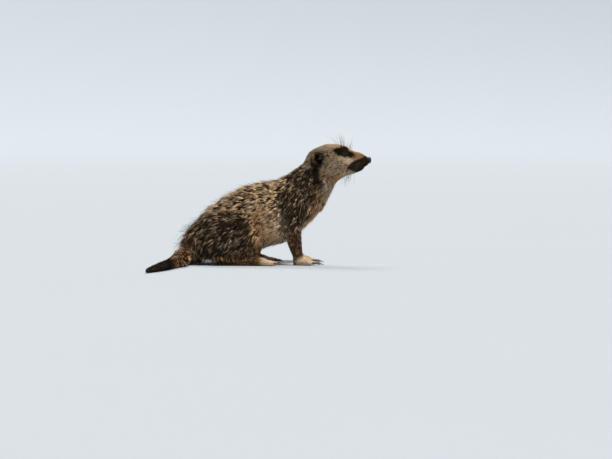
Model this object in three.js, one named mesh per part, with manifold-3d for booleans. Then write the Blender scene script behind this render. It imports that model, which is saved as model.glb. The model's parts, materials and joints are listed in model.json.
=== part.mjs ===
// A meerkat crouched on its haunches, forelegs straight, head raised and turned to look ahead.
// A still, life-size model out to the tips of the coat. Millimetres: +X ahead, +Y its left, +Z up.

import * as THREE from "three";
import { mergeVertices } from "three/addons/utils/BufferGeometryUtils.js";
import Module from "manifold-3d";

const wasm = await Module();
wasm.setup();

// ---- driving sizes ---------------------------------------------------------------------------
const SEAM = 0.3; // gap between pieces that touch
const SLIVER = 0.12; // detail this small, left by a cut, is merged away
const FLOOR_BLOCK = 600; // side of the block that trims everything flat at the floor
const TOES = 4; // on every foot
const RIGHT = -1; // side signs along Y
const LEFT = 1;

const EYE = { radius: 5, ahead: 98.5, out: 12.4, high: 133.6 };
const EAR = { ahead: 67.5, out: 21.8, high: 127.5, deep: 6.4, thick: 3.2, tall: 8.8, flare: 20 };
const NOSE = { ahead: 128.6, high: 123.6, long: 3.4, wide: 4.6, tall: 3.6 };

// A station is one cross-section of a loft: where it is widest, how far it reaches from there
// towards the loft's upper and lower edge, and its half width.
const TRUNK = [
  { at: [-87, 0, 21], above: 12, below: 15, wide: 18 },
  { at: [-76, 0, 29], above: 19, below: 26, wide: 30 },
  { at: [-60, 0, 36], above: 29, below: 32, wide: 36 },
  { at: [-42, 0, 42], above: 38, below: 35, wide: 38 },
  { at: [-22, 0, 47], above: 45, below: 36, wide: 38 },
  { at: [-2, 0, 52], above: 47, below: 33, wide: 37 },
  { at: [17, 0, 60], above: 44, below: 36, wide: 35 },
  { at: [34, 0, 71], above: 39, below: 32, wide: 30.5 },
  { at: [48, 0, 85], above: 31, below: 33, wide: 26.5 },
  { at: [57, 0, 95], above: 27, below: 29, wide: 24 },
];

const NECK = [
  { at: [48, 0, 85], above: 31, below: 33, wide: 26.5 },
  { at: [60, 0, 99], above: 25, below: 28, wide: 23.5 },
  { at: [70, 0, 112], above: 20, below: 24, wide: 22 },
  { at: [76, 0, 120], above: 15, below: 20, wide: 19 },
];
const NECK_CUT = { at: [50, 0, 87.5], lean: 43 }; // where the neck leaves the trunk

const HEAD = [
  { at: [62, 0, 122], above: 16, below: 15, wide: 18 },
  { at: [70, 0, 122], above: 20, below: 21, wide: 22 },
  { at: [80, 0, 121.5], above: 22.5, below: 23.5, wide: 24 },
  { at: [90, 0, 121], above: 22.3, below: 21.5, wide: 23.5 },
  { at: [99, 0, 121], above: 20.6, below: 16.5, wide: 19.5 },
  { at: [106, 0, 121], above: 15.6, below: 14.4, wide: 14.5 },
  { at: [112, 0, 121], above: 12.6, below: 12.4, wide: 11 },
  { at: [118, 0, 121], above: 10.4, below: 9.6, wide: 9 },
  { at: [124, 0, 122], above: 7.2, below: 5.4, wide: 7.2 },
  { at: [128, 0, 123], above: 4.4, below: 3.6, wide: 5 },
];

// Limbs are given for the right side and mirrored for the left. Going down a limb, its upper
// edge is its front.
const THIGH = [
  { at: [-77, 24, 23], above: 17, below: 19, wide: 11 },
  { at: [-65, 28, 32], above: 26, below: 29, wide: 14 },
  { at: [-46, 30, 36], above: 31, below: 31, wide: 15.5 },
  { at: [-26, 31, 33], above: 27, below: 26, wide: 15 },
  { at: [-10, 32, 28], above: 18, below: 17, wide: 12.5 },
];
const SHANK = [
  { at: [-6, 31, 22], above: 9, below: 9, wide: 10 },
  { at: [-20, 32, 14], above: 10, below: 10, wide: 9.5 },
  { at: [-38, 32, 9], above: 9, below: 9, wide: 8.5 },
  { at: [-48, 32, 7.5], above: 7, below: 8, wide: 7.5 },
];
const HIND_FOOT = [
  { at: [-50, 32, 6], above: 6, below: 7, wide: 6.5 },
  { at: [-36, 32.5, 5], above: 6, below: 6, wide: 7 },
  { at: [-18, 33, 4.6], above: 6, below: 5.6, wide: 7.5 },
  { at: [-2, 34, 4.4], above: 6.4, below: 5.4, wide: 8.5 },
  { at: [5, 34.5, 3.8], above: 5, below: 4.6, wide: 8 },
];
const UPPER_ARM = [
  { at: [38, 20, 86], above: 15, below: 17, wide: 10 },
  { at: [37, 23, 70], above: 16, below: 16, wide: 11.5 },
  { at: [35, 25, 54], above: 14, below: 14, wide: 11 },
  { at: [36, 26, 42], above: 11.5, below: 11, wide: 9.5 },
];
const FOREARM = [
  { at: [38, 26, 42], above: 10, below: 9, wide: 9.2 },
  { at: [38.5, 26, 30], above: 9.8, below: 9.2, wide: 8.6 },
  { at: [41.5, 26, 18], above: 7, below: 7, wide: 7 },
  { at: [43.5, 26, 9], above: 6, below: 6, wide: 6.4 },
];
const FORE_FOOT = [
  { at: [40.5, 26, 5], above: 5.5, below: 5.6, wide: 6.2 },
  { at: [48, 26.4, 4.6], above: 6, below: 5.4, wide: 7 },
  { at: [55, 26.8, 3.8], above: 5, below: 4.6, wide: 7 },
];

// Toes: the outer ones start and end further back. Claws leave the toe tips and touch down ahead.
const FORE_TOES = { from: 53, reach: 9.5, spread: 4, splay: 1.15, fat: 2.7, outerBack: 3.4 };
const HIND_TOES = { from: 3, reach: 14, spread: 4.1, splay: 1.12, fat: 2.9, outerBack: 3.6 };
const FORE_CLAW = { long: 10, fat: 1.3, rise: 1.6 };
const HIND_CLAW = { long: 7, fat: 1.2, rise: 1.1 };

const TAIL = [
  { at: [-76, 0, 14], above: 10, below: 13.4, wide: 12 },
  { at: [-87, -12, 11.5], above: 10.5, below: 12, wide: 11.6 },
  { at: [-94, -36, 10], above: 9.8, below: 10.4, wide: 10.2 },
  { at: [-100, -70, 8], above: 8, below: 8.4, wide: 8.4 },
  { at: [-107, -106, 6.6], above: 6.6, below: 7, wide: 7 },
  { at: [-117, -140, 5.2], above: 5.2, below: 5.6, wide: 5.6 },
  { at: [-128, -168, 3.4], above: 3.2, below: 3.8, wide: 3.4 },
];
const TAIL_CUTS = [0.38, 0.74]; // shares of the tail's stations where it is divided

// ---- shaping ---------------------------------------------------------------------------------
const degrees = THREE.MathUtils.degToRad;
const ACROSS = new THREE.Vector3(0, 1, 0);
const UP = new THREE.Vector3(0, 0, 1);

// Closed body through the stations, rounded at both ends. level keeps the sections upright, for a
// loft that turns along the floor; grow swells it evenly, for cutting a neighbour.
function loft(stations, { rings, around, ends = [0.6, 0.6], endRings = 2, square = 2.15, level = false, side = 1, grow = 0 }) {
  const path = new THREE.CatmullRomCurve3(
    stations.map((s) => new THREE.Vector3(s.at[0], side * s.at[1], s.at[2])),
  );
  const sizes = new THREE.CatmullRomCurve3(
    stations.map((s) => new THREE.Vector3(s.above + grow, s.below + grow, s.wide + grow)),
  );
  const points = [];
  const index = [];
  const pole = (at) => points.push(at.x, at.y, at.z) / 3 - 1;

  const ring = (t, shrink, slide) => {
    const ahead = path.getTangent(t);
    const across = level
      ? new THREE.Vector3().crossVectors(UP, ahead).normalize()
      : ACROSS.clone().addScaledVector(ahead, -ahead.dot(ACROSS)).normalize();
    const up = new THREE.Vector3().crossVectors(ahead, across);
    const centre = path.getPoint(t).addScaledVector(ahead, slide);
    const size = sizes.getPoint(t).multiplyScalar(shrink);
    const first = points.length / 3;
    for (let j = 0; j < around; j++) {
      const turn = (2 * Math.PI * j) / around;
      const bent = (v) => Math.sign(v) * Math.abs(v) ** (2 / square);
      const c = bent(Math.cos(turn)) * size.z;
      const s = bent(Math.sin(turn)) * (turn < Math.PI ? size.x : size.y);
      const p = centre.clone().addScaledVector(across, c).addScaledVector(up, s);
      points.push(p.x, p.y, p.z);
    }
    return first;
  };
  const endLength = (t, share) => share * Math.min(sizes.getPoint(t).x, sizes.getPoint(t).z) + grow;
  const firsts = [];
  const [startLong, finishLong] = [endLength(0, ends[0]), endLength(1, ends[1])];
  for (let k = endRings; k > 0; k--) {
    const a = (k / (endRings + 1)) * (Math.PI / 2);
    firsts.push(ring(0, Math.cos(a), -startLong * Math.sin(a)));
  }
  for (let i = 0; i <= rings; i++) firsts.push(ring(i / rings, 1, 0));
  for (let k = 1; k <= endRings; k++) {
    const a = (k / (endRings + 1)) * (Math.PI / 2);
    firsts.push(ring(1, Math.cos(a), finishLong * Math.sin(a)));
  }
  const start = pole(path.getPoint(0).addScaledVector(path.getTangent(0), -startLong));
  const finish = pole(path.getPoint(1).addScaledVector(path.getTangent(1), finishLong));
  const last = firsts[firsts.length - 1];
  for (let j = 0; j < around; j++) {
    const k = (j + 1) % around;
    index.push(start, firsts[0] + k, firsts[0] + j, finish, last + j, last + k);
    for (let i = 0; i + 1 < firsts.length; i++) {
      const [a, b] = [firsts[i], firsts[i + 1]];
      index.push(a + j, a + k, b + k, a + j, b + k, b + j);
    }
  }
  const made = new THREE.BufferGeometry();
  made.setAttribute("position", new THREE.Float32BufferAttribute(points, 3));
  made.setIndex(index);
  return solid(made);
}

function ellipsoid(radii, around, at, turn = [0, 0, 0]) {
  const made = new THREE.SphereGeometry(1, around, Math.round(around * 0.6));
  made.scale(...radii);
  made.applyMatrix4(new THREE.Matrix4().makeRotationFromEuler(new THREE.Euler(...turn.map(degrees), "ZYX")));
  made.translate(...at);
  return solid(made);
}

function solid(geometry) {
  for (const name of ["normal", "uv"]) geometry.deleteAttribute(name);
  const merged = mergeVertices(geometry, 1e-4);
  return new wasm.Manifold(
    new wasm.Mesh({
      numProp: 3,
      vertProperties: merged.attributes.position.array,
      triVerts: new Uint32Array(merged.index.array),
    }),
  );
}

// A large block with one face through a point, facing along a direction: halves and trims bodies.
function halfSpace(at, facing) {
  const block = new THREE.BoxGeometry(FLOOR_BLOCK, FLOOR_BLOCK, FLOOR_BLOCK);
  block.translate(0, 0, FLOOR_BLOCK / 2);
  block.applyQuaternion(new THREE.Quaternion().setFromUnitVectors(UP, facing.clone().normalize()));
  block.translate(at.x, at.y, at.z);
  return solid(block);
}

const belowFloor = halfSpace(new THREE.Vector3(), UP.clone().negate());

function largest(body) {
  return body.decompose().reduce((a, b) => (b.volume() > a.volume() ? b : a));
}

function cut(body, ...tools) {
  return largest(tools.reduce((left, tool) => left.subtract(tool), body)).simplify(SLIVER);
}

// ---- materials -------------------------------------------------------------------------------
const finish = (colour, roughness) => new THREE.MeshStandardMaterial({ color: colour, roughness, metalness: 0 });
const COAT = finish(0x8a6f50, 0.9);
const PALE_COAT = finish(0xb9a284, 0.9);
const DARK_COAT = finish(0x2a211b, 0.85);
const HORN = finish(0x1d1815, 0.5);
const EYE_DARK = finish(0x120c09, 0.12);
const NOSE_LEATHER = finish(0x15100e, 0.45);

const animal = new THREE.Group();

function add(name, body, material) {
  const { vertProperties, triVerts } = body.getMesh();
  const geometry = new THREE.BufferGeometry();
  geometry.setAttribute("position", new THREE.BufferAttribute(vertProperties, 3));
  geometry.setIndex(new THREE.BufferAttribute(triVerts, 1));
  geometry.computeVertexNormals();
  const mesh = new THREE.Mesh(geometry, material);
  mesh.name = name;
  animal.add(mesh);
}

// ---- head ------------------------------------------------------------------------------------
const headShape = { rings: 15, around: 18, ends: [0.5, 0.35] };

function eye(side, grow = 0) {
  const r = EYE.radius + grow;
  return ellipsoid([r, r, r], 10, [EYE.ahead, side * EYE.out, EYE.high]);
}

function ear(side) {
  const turn = [side * -14, 0, side * -EAR.flare];
  const at = [EAR.ahead, side * EAR.out, EAR.high];
  const shell = ellipsoid([EAR.deep, EAR.thick, EAR.tall], 10, at, turn);
  const bowl = ellipsoid(
    [EAR.deep * 0.72, EAR.thick * 0.8, EAR.tall * 0.74],
    8,
    [at[0] + 1.6, at[1] + side * EAR.thick * 0.95, at[2] + 0.4],
    turn,
  );
  return cut(shell, bowl);
}

const earSocket = (side) =>
  ellipsoid(
    [EAR.deep + SEAM, EAR.thick + SEAM, EAR.tall + SEAM],
    10,
    [EAR.ahead, side * EAR.out, EAR.high],
    [side * -14, 0, side * -EAR.flare],
  );

const nose = (grow = 0) =>
  ellipsoid([NOSE.long + grow, NOSE.wide + grow, NOSE.tall + grow], 10, [NOSE.ahead, 0, NOSE.high]);

function buildHead() {
  const sides = [RIGHT, LEFT];
  add(
    "head",
    cut(loft(HEAD, headShape), nose(SEAM), ...sides.map((s) => eye(s, SEAM)), ...sides.map(earSocket)),
    COAT,
  );
  add("nose", nose(), NOSE_LEATHER);
  for (const side of sides) {
    add("eye_" + sideName(side), eye(side), EYE_DARK);
    add("ear_" + sideName(side), ear(side), DARK_COAT);
  }
}

const sideName = (side) => (side === RIGHT ? "right" : "left");

// ---- legs ------------------------------------------------------------------------------------
const limbShape = (side, grow = 0) => ({ rings: 5, around: 10, side, grow });

// Toe i of a foot, from the outermost: its root, its tip, and how far it stands from the middle.
function toeLine(foot, plan, i, side) {
  const offset = i - (TOES - 1) / 2;
  const back = Math.abs(offset) > 1 ? plan.outerBack : 0;
  const base = foot[foot.length - 1].at;
  const start = [plan.from - back, base[1] + offset * plan.spread * 0.85, 3.6];
  const end = [plan.from + plan.reach - back, base[1] + offset * plan.spread * plan.splay, 2.8];
  return { start, end, side };
}

function toe(foot, plan, i, side, grow = 0) {
  const { start, end } = toeLine(foot, plan, i, side);
  const knuckle = start.map((v, k) => (v + end[k]) / 2 + (k === 2 ? 0.9 : 0));
  const section = (at, share) => ({ at, above: plan.fat * share, below: plan.fat * share * 1.15, wide: plan.fat * share });
  return loft([section(start, 0.95), section(knuckle, 1), section(end, 0.82)], {
    rings: 2,
    around: 6,
    endRings: 1,
    side,
    grow,
    ends: [0.8, 0.9],
  });
}

// A claw arches out of its toe's tip and comes down to the floor ahead of it.
function claw(foot, plan, shape, i, side) {
  const { end } = toeLine(foot, plan, i, side);
  const along = (share, height, size) => ({
    at: [end[0] + plan.fat * 0.6 + shape.long * share, end[1] + (i - 1.5) * shape.long * share * 0.06, height],
    above: shape.fat * size,
    below: shape.fat * size,
    wide: shape.fat * size * 0.8,
  });
  return loft(
    [along(0, end[2], 1), along(0.45, end[2] + shape.rise * 0.5, 0.85), along(0.8, end[2] - 0.4, 0.6), along(1, 0.75, 0.35)],
    { rings: 2, around: 5, endRings: 1, side, ends: [0.4, 0.5] },
  );
}

function foot(stations, plan, side, grow = 0) {
  let body = loft(stations, { rings: 5, around: 10, side, grow, ends: [0.7, 0.5] });
  for (let i = 0; i < TOES; i++) body = body.add(toe(stations, plan, i, side, grow));
  return body;
}

function buildLeg(side, names, upper, lower, footStations, plan, clawShape, trunkCutters) {
  const paw = foot(footStations, plan, side);
  const pawCutter = foot(footStations, plan, side, SEAM);
  const shank = loft(lower, limbShape(side));
  const shankCutter = loft(lower, limbShape(side, SEAM));
  const top = loft(upper, limbShape(side));
  const which = sideName(side);
  const claws = Array.from({ length: TOES }, (_, i) => claw(footStations, plan, clawShape, i, side));
  add(names.foot + "_" + which, cut(paw, belowFloor), PALE_COAT);
  add(names.lower + "_" + which, cut(shank, pawCutter, belowFloor), COAT);
  add(names.upper + "_" + which, cut(top, shankCutter, pawCutter, belowFloor), COAT);
  claws.forEach((one, i) => add(`${names.claw}_${which}_${i + 1}`, cut(one, pawCutter, belowFloor), HORN));
  trunkCutters.push(loft(upper, limbShape(side, SEAM)), shankCutter, pawCutter);
}

// ---- tail, neck and trunk --------------------------------------------------------------------
const tailShape = (grow = 0) => ({ rings: 16, around: 10, level: true, grow, ends: [0.3, 1.4] });

function buildTail(trunkCutters, legCutters) {
  const whole = cut(loft(TAIL, tailShape()), belowFloor, ...legCutters);
  trunkCutters.push(loft(TAIL, tailShape(SEAM)));
  const path = new THREE.CatmullRomCurve3(TAIL.map((s) => new THREE.Vector3(...s.at)));
  const planes = TAIL_CUTS.map((t) => ({ at: path.getPoint(t), ahead: path.getTangent(t) }));
  const beyond = (p) => halfSpace(p.at.clone().addScaledVector(p.ahead, -SEAM / 2), p.ahead);
  const before = (p) => halfSpace(p.at.clone().addScaledVector(p.ahead, SEAM / 2), p.ahead.clone().negate());
  add("tail_base", cut(whole, beyond(planes[0])), COAT);
  add("tail_middle", cut(whole, before(planes[0]), beyond(planes[1])), COAT);
  add("tail_tip", cut(whole, before(planes[1])), DARK_COAT);
}

function buildNeckAndTrunk(cutters) {
  const lean = degrees(NECK_CUT.lean);
  const ahead = new THREE.Vector3(Math.cos(lean), 0, Math.sin(lean));
  const at = new THREE.Vector3(...NECK_CUT.at);
  const headCutter = loft(HEAD, { ...headShape, grow: SEAM });
  const ears = [RIGHT, LEFT].map(earSocket);
  const neckSide = halfSpace(at.clone().addScaledVector(ahead, -SEAM / 2), ahead);
  const trunkSide = halfSpace(at.clone().addScaledVector(ahead, SEAM / 2), ahead.clone().negate());
  const shape = { rings: 11, around: 18 };
  add("neck", cut(loft(NECK, { ...shape, rings: 5 }), trunkSide, headCutter, ...ears, ...cutters), COAT);
  add("trunk", cut(loft(TRUNK, shape), neckSide, belowFloor, ...cutters), COAT);
}

// ---- assembly --------------------------------------------------------------------------------
const HIND = { upper: "thigh", lower: "shank", foot: "hindfoot", claw: "hind_claw" };
const FORE = { upper: "upper_arm", lower: "forearm", foot: "forefoot", claw: "fore_claw" };

const hindCutters = [];
const foreCutters = [];
const tailCutters = [];
buildHead();
for (const side of [RIGHT, LEFT]) {
  buildLeg(side, HIND, THIGH, SHANK, HIND_FOOT, HIND_TOES, HIND_CLAW, hindCutters);
  buildLeg(side, FORE, UPPER_ARM, FOREARM, FORE_FOOT, FORE_TOES, FORE_CLAW, foreCutters);
}
buildTail(tailCutters, hindCutters);
buildNeckAndTrunk([...hindCutters, ...foreCutters, ...tailCutters]);

// The origin is on the floor below the middle of the whole model.
const centre = new THREE.Box3().setFromObject(animal).getCenter(new THREE.Vector3());
animal.position.set(-centre.x, -centre.y, 0);

export default animal;
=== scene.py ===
"""A crouching meerkat: one skin over the carved body, with eyes, nose, claws, whiskers and a coat of locks.

Places on the animal are given in millimetres as (ahead, out, high): ahead of the model's middle,
out from the animal's own middle plane on either side, and above the floor. Everything that is
made from them is in metres.
"""

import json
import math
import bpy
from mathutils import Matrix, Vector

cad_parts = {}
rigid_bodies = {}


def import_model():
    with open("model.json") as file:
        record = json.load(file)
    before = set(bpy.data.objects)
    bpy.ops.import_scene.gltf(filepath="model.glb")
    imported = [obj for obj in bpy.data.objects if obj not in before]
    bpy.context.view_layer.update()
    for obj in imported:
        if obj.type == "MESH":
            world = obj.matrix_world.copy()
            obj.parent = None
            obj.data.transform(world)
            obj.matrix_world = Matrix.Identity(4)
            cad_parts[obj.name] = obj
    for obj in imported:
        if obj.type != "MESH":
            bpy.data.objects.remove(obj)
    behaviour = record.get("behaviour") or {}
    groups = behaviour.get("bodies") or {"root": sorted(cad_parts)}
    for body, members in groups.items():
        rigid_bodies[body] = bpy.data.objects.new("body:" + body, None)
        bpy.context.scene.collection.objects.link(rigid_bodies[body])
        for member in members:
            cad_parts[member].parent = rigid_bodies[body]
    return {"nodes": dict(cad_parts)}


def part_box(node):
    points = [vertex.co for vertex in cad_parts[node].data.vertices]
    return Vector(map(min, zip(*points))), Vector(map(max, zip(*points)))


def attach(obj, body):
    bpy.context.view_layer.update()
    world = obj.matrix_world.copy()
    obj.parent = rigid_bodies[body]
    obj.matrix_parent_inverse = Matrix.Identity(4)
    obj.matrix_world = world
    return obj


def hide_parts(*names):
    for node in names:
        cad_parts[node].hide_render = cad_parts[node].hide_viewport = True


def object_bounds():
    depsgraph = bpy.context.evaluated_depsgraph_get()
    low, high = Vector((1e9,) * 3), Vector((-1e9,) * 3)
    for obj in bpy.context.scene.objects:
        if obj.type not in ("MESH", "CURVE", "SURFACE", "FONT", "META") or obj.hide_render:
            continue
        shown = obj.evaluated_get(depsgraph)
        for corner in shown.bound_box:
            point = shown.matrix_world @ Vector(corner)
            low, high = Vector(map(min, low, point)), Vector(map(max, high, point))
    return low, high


bl_info = {
    "name": "Crouching Meerkat",
    "version": (1, 0, 0),
    "blender": (4, 5, 0),
    "location": "3D View > Sidebar > Meerkat",
    "description": "Skin, coat, face and claws over the carved body of a crouching meerkat",
    "category": "Add Mesh",
}

import bpy
import numpy as np
from bpy.props import FloatProperty, FloatVectorProperty, IntProperty, PointerProperty
from mathutils import Vector
from mathutils.bvhtree import BVHTree
from mathutils.kdtree import KDTree

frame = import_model()
CAD_BOX = [list(corner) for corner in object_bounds()]

MM = 0.001
SIDES = {"right": -1, "left": 1}  # sign of the side along Y
MIDDLE = sum(corner.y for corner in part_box("nose")) / 2  # the animal's own middle plane
BARE = ("eye", "nose", "fore_claw", "hind_claw")  # nodes that stay separate from the skin
FLESH = sorted(name for name in frame["nodes"] if not name.startswith(BARE))

# ---- the groomer's chart ----------------------------------------------------------------------
# For each carved part: places on it with the coat's depth, the length of its locks along the
# skin, both in mm, and the way the hair lies there as (ahead, out, high).
CHART = {
    "head": [
        ((118, 3, 130), 0.6, 2.0, (-1, 0, 0.25)),
        ((117, 9, 122), 0.6, 1.8, (-1, 0.3, 0)),
        ((112, 5, 110), 0.8, 2.2, (-1, 0, -0.2)),
        ((97, 15, 134), 0.7, 2.0, (-1, 0.3, 0)),
        ((100, 8, 141), 1.0, 3.0, (-1, 0, 0.3)),
        ((82, 4, 144), 1.8, 4.6, (-1, 0, 0)),
        ((90, 22, 118), 1.8, 4.6, (-0.9, 0, -0.4)),
        ((92, 9, 101), 2.0, 5.0, (-1, 0, -0.3)),
        ((66, 10, 132), 2.6, 6.0, (-0.8, 0, -0.6)),
        ((70, 21, 106), 2.8, 6.5, (-0.6, 0, -0.8)),
    ],
    "ear": [((67, 22, 127), 0.4, 2.4, (-0.3, 0.2, 1))],
    "neck": [
        ((60, 5, 122), 3.6, 9.0, (-0.7, 0, -0.7)),
        ((62, 22, 100), 3.6, 8.5, (-0.45, 0, -0.9)),
        ((80, 3, 86), 3.2, 8.0, (-0.3, 0, -0.95)),
    ],
    "trunk": [
        ((44, 5, 112), 4.6, 11, (-0.8, 0, -0.6)),
        ((62, 5, 62), 4.0, 10, (-0.45, 0, -0.9)),
        ((0, 5, 98), 6.0, 12, (-0.97, 0, -0.25)),
        ((0, 35, 60), 5.0, 11, (-0.85, 0, -0.5)),
        ((10, 5, 25), 3.5, 9, (-1, 0, -0.1)),
        ((-50, 5, 78), 7.0, 14, (-0.9, 0, -0.45)),
        ((-92, 10, 36), 7.0, 14, (-0.45, 0, -0.9)),
        ((-60, 33, 45), 6.0, 12, (-0.9, 0, -0.42)),
    ],
    "thigh": [
        ((-45, 44, 50), 5.4, 11.5, (-0.9, 0, -0.4)),
        ((-14, 43, 40), 4.4, 9.5, (-0.75, 0, -0.65)),
        ((-2, 36, 26), 3.6, 8.0, (-0.25, 0.15, -1)),
        ((-72, 32, 20), 7.0, 16, (-0.45, 0, -0.9)),
    ],
    "shank": [
        ((-2, 38, 20), 2.8, 6.5, (-0.3, 0.1, -1)),
        ((-28, 40, 13), 2.6, 6.5, (-0.9, 0, -0.45)),
    ],
    "hindfoot": [
        ((-50, 32, 6), 1.6, 4.6, (0.3, 0, -0.9)),
        ((-25, 34, 8), 1.3, 4.2, (0.9, 0, -0.4)),
        ((2, 34, 7), 0.8, 2.6, (1, 0, -0.1)),
        ((16, 34, 4), 0.45, 1.7, (1, 0, -0.15)),
    ],
    "upper_arm": [
        ((38, 34, 74), 4.0, 9.5, (-0.4, 0, -0.9)),
        ((34, 36, 48), 3.4, 8.0, (-0.5, 0, -0.85)),
    ],
    "forearm": [
        ((38, 34, 34), 2.2, 6.0, (-0.1, 0, -1)),
        ((43, 32, 12), 1.2, 3.6, (0.15, 0, -1)),
    ],
    "forefoot": [
        ((44, 30, 8), 0.8, 2.5, (0.8, 0, -0.5)),
        ((60, 28, 4), 0.4, 1.5, (1, 0, -0.1)),
    ],
    "tail_base": [((-92, 30, 12), 3.2, 9.0, None)],
    "tail_middle": [((-102, 90, 8), 2.4, 7.5, None)],
    "tail_tip": [((-118, 145, 6), 1.8, 6.5, None)],
}

# How far each part is grown before the parts are melted together, in mm, to fill the creases
# between them.
GROWTH = {"trunk": 2.6, "thigh": 2.6, "shank": 1.6, "upper_arm": 2.0, "neck": 2.2, "tail_base": 2.0}
LEAST_GROWTH = 0.35

# Forms of the head that the skin adds: place, reach in mm, and how far the skin is pushed out.
FACE_FORMS = [
    ((97.5, 16, 134), 7.0, -0.5),  # the socket the eye patch lies in
    ((97, 7, 143), 9.0, 1.6),  # brow
    ((103.5, 6, 140.5), 6.5, 1.8),  # and where it ends in front
    ((84, 0, 146), 16.0, 1.2),  # crown
    ((108, 0, 137), 8.0, 1.6),  # the slope above the muzzle
    ((118, 0, 131), 9.0, 2.8),  # top of the muzzle
    ((126, 0, 128), 5.0, 1.0),  # and its tip
    ((106, 8.5, 134), 6.0, 0.6),  # between the eye and the muzzle
    ((88, 22, 116), 10.0, 0.9),  # cheek
    ((117, 8, 120), 5.0, 0.8),  # whisker pad
    ((102, 14, 114), 4.5, -0.5),  # hollow behind the mouth's corner
    ((100, 17, 127), 5.0, 0.5),  # cheekbone
    ((90, 0, 99), 10.0, 2.2),  # throat
    ((56, 0, 124), 9.0, 3.0),  # nape, close behind the head
]
MOUTH = [(127.3, 118.4), (122, 115.8), (115, 114.3), (108, 114.6), (103.8, 115.8)]  # ahead, high
MOUTH_DEPTH, MOUTH_WIDTH = 1.0, 0.75
KNUCKLES = ((7.5, 6.0, 0.5), (2.0, 4.4, 0.45))  # behind the claw's root, height and size, in mm
KNUCKLE_REACH = 1.9
FURROW_DEPTH, FURROW_WIDTH = 1.9, 0.8  # between the toes, in mm
FEET = ("fore_claw_right", "fore_claw_left", "hind_claw_right", "hind_claw_left")

SET_BACK = (-0.5, -1.2, -0.1)  # from the carved eyes to the eyeballs, in mm: ahead, out, high


def eye_centre(name):
    ahead, out, high = SET_BACK
    return sum(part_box("eye_" + name), Vector()) / 2 + Vector((ahead, out * SIDES[name], high)) * MM


EYE_CENTRES = {name: eye_centre(name) for name in SIDES}
EYE_RADIUS = 4.8 * MM
GAZE = (0.50, 0.84, 0.12)  # ahead, out, high
LID_OPENING = (math.radians(53), math.radians(37))  # half angles, along the eye and across it

# Pieces of the coat: the parts each covers, between which places ahead (mm), how its locks are
# cut, and its slot.
EVERYWHERE = (-500, 500)
COAT_PIECES = {
    "coat_face": (("head",), (91, 500), "short", "coat"),
    "coat_crown": (("head",), (-500, 91), "short", "coat"),
    "coat_ears": (("ear_right", "ear_left"), EVERYWHERE, "short", "dark_coat"),
    "coat_neck": (("neck",), EVERYWHERE, "lock", "coat"),
    "coat_withers": (("trunk",), (6, 500), "lock", "coat"),
    "coat_back": (("trunk",), (-40, 6), "lock", "coat"),
    "coat_rump": (("trunk",), (-500, -40), "lock", "coat"),
    "coat_thigh_right": (("thigh_right", "shank_right"), EVERYWHERE, "lock", "coat"),
    "coat_thigh_left": (("thigh_left", "shank_left"), EVERYWHERE, "lock", "coat"),
    "coat_arm_right": (("upper_arm_right", "forearm_right"), EVERYWHERE, "lock", "coat"),
    "coat_arm_left": (("upper_arm_left", "forearm_left"), EVERYWHERE, "lock", "coat"),
    "coat_hind_feet": (("hindfoot_right", "hindfoot_left"), EVERYWHERE, "paw", "pale_coat"),
    "coat_fore_feet": (("forefoot_right", "forefoot_left"), EVERYWHERE, "paw", "pale_coat"),
    "coat_tail": (("tail_base", "tail_middle", "tail_tip"), EVERYWHERE, "lock", "coat"),
    "guard_hair": (("neck", "trunk", "thigh_right", "thigh_left", "tail_base"), EVERYWHERE, "guard", "coat"),
}
# How locks are cut. strands: how many in a lock. width, lift, reach: their width, how high they
# stand and how long they are, as shares of the hair width and of the chart's depth and length.
# bent: whether they follow the body in two steps. tight: how wide the tip is, as a share of the
# root. close: how closely locks grow. clump, patchy: how far a clump's locks share a tip and a
# tone. loft: how much more they stand out at the rump's end. stray: how far they turn from the lie
# of the coat, in degrees.
CUTS = {
    "lock": {
        "strands": 6, "width": 1.0, "bent": True, "tight": 0.4, "lift": 1.0, "reach": 1.0,
        "close": 1.0, "clump": 0.2, "patchy": 0.5, "loft": 0.6, "stray": 19,
    },
    "short": {
        "strands": 5, "width": 1.0, "bent": False, "tight": 0.45, "lift": 1.15, "reach": 1.1,
        "close": 1.05, "clump": 0.25, "patchy": 0.65, "loft": 0.6, "stray": 11,
    },
    "paw": {
        "strands": 4, "width": 1.1, "bent": False, "tight": 0.5, "lift": 0.7, "reach": 1.0,
        "close": 0.6, "clump": 0.1, "patchy": 0.0, "loft": 0.6, "stray": 8,
    },
    "guard": {
        "strands": 1, "width": 0.75, "bent": True, "tight": 0.4, "lift": 1.5, "reach": 1.2,
        "close": 0.7, "clump": 0.0, "patchy": 0.0, "loft": 1.1, "stray": 15,
    },
}
# The fourth mark is painted shade: darker hair where neck, shoulders, arms, thighs, lower flank, rump, tail
# root, shank and heel lie in shadow. On the crown it only makes a few locks darker.
MARKS = ("dark", "pale", "rufous", "painted_shade_and_dark_flecks", "bar")
BAR_SPACING = 10.5  # mm between the bars across the back


# ---- settings ---------------------------------------------------------------------------------
class BodySettings(bpy.types.PropertyGroup):
    voxel: FloatProperty(
        name="Skin detail", description="Size of the cells the skin is first built from",
        default=1.2 * MM, min=0.4 * MM, max=3 * MM, unit="LENGTH", precision=5,
    )
    rounding: IntProperty(
        name="Rounding", description="Passes that melt the carved parts into one another",
        default=60, min=0, max=400,
    )


def colour_choice(name, description, default):
    """A colour that the user may change."""
    return FloatVectorProperty(
        name=name, description=description, default=default, size=3, min=0, max=1, subtype="COLOR"
    )


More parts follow.
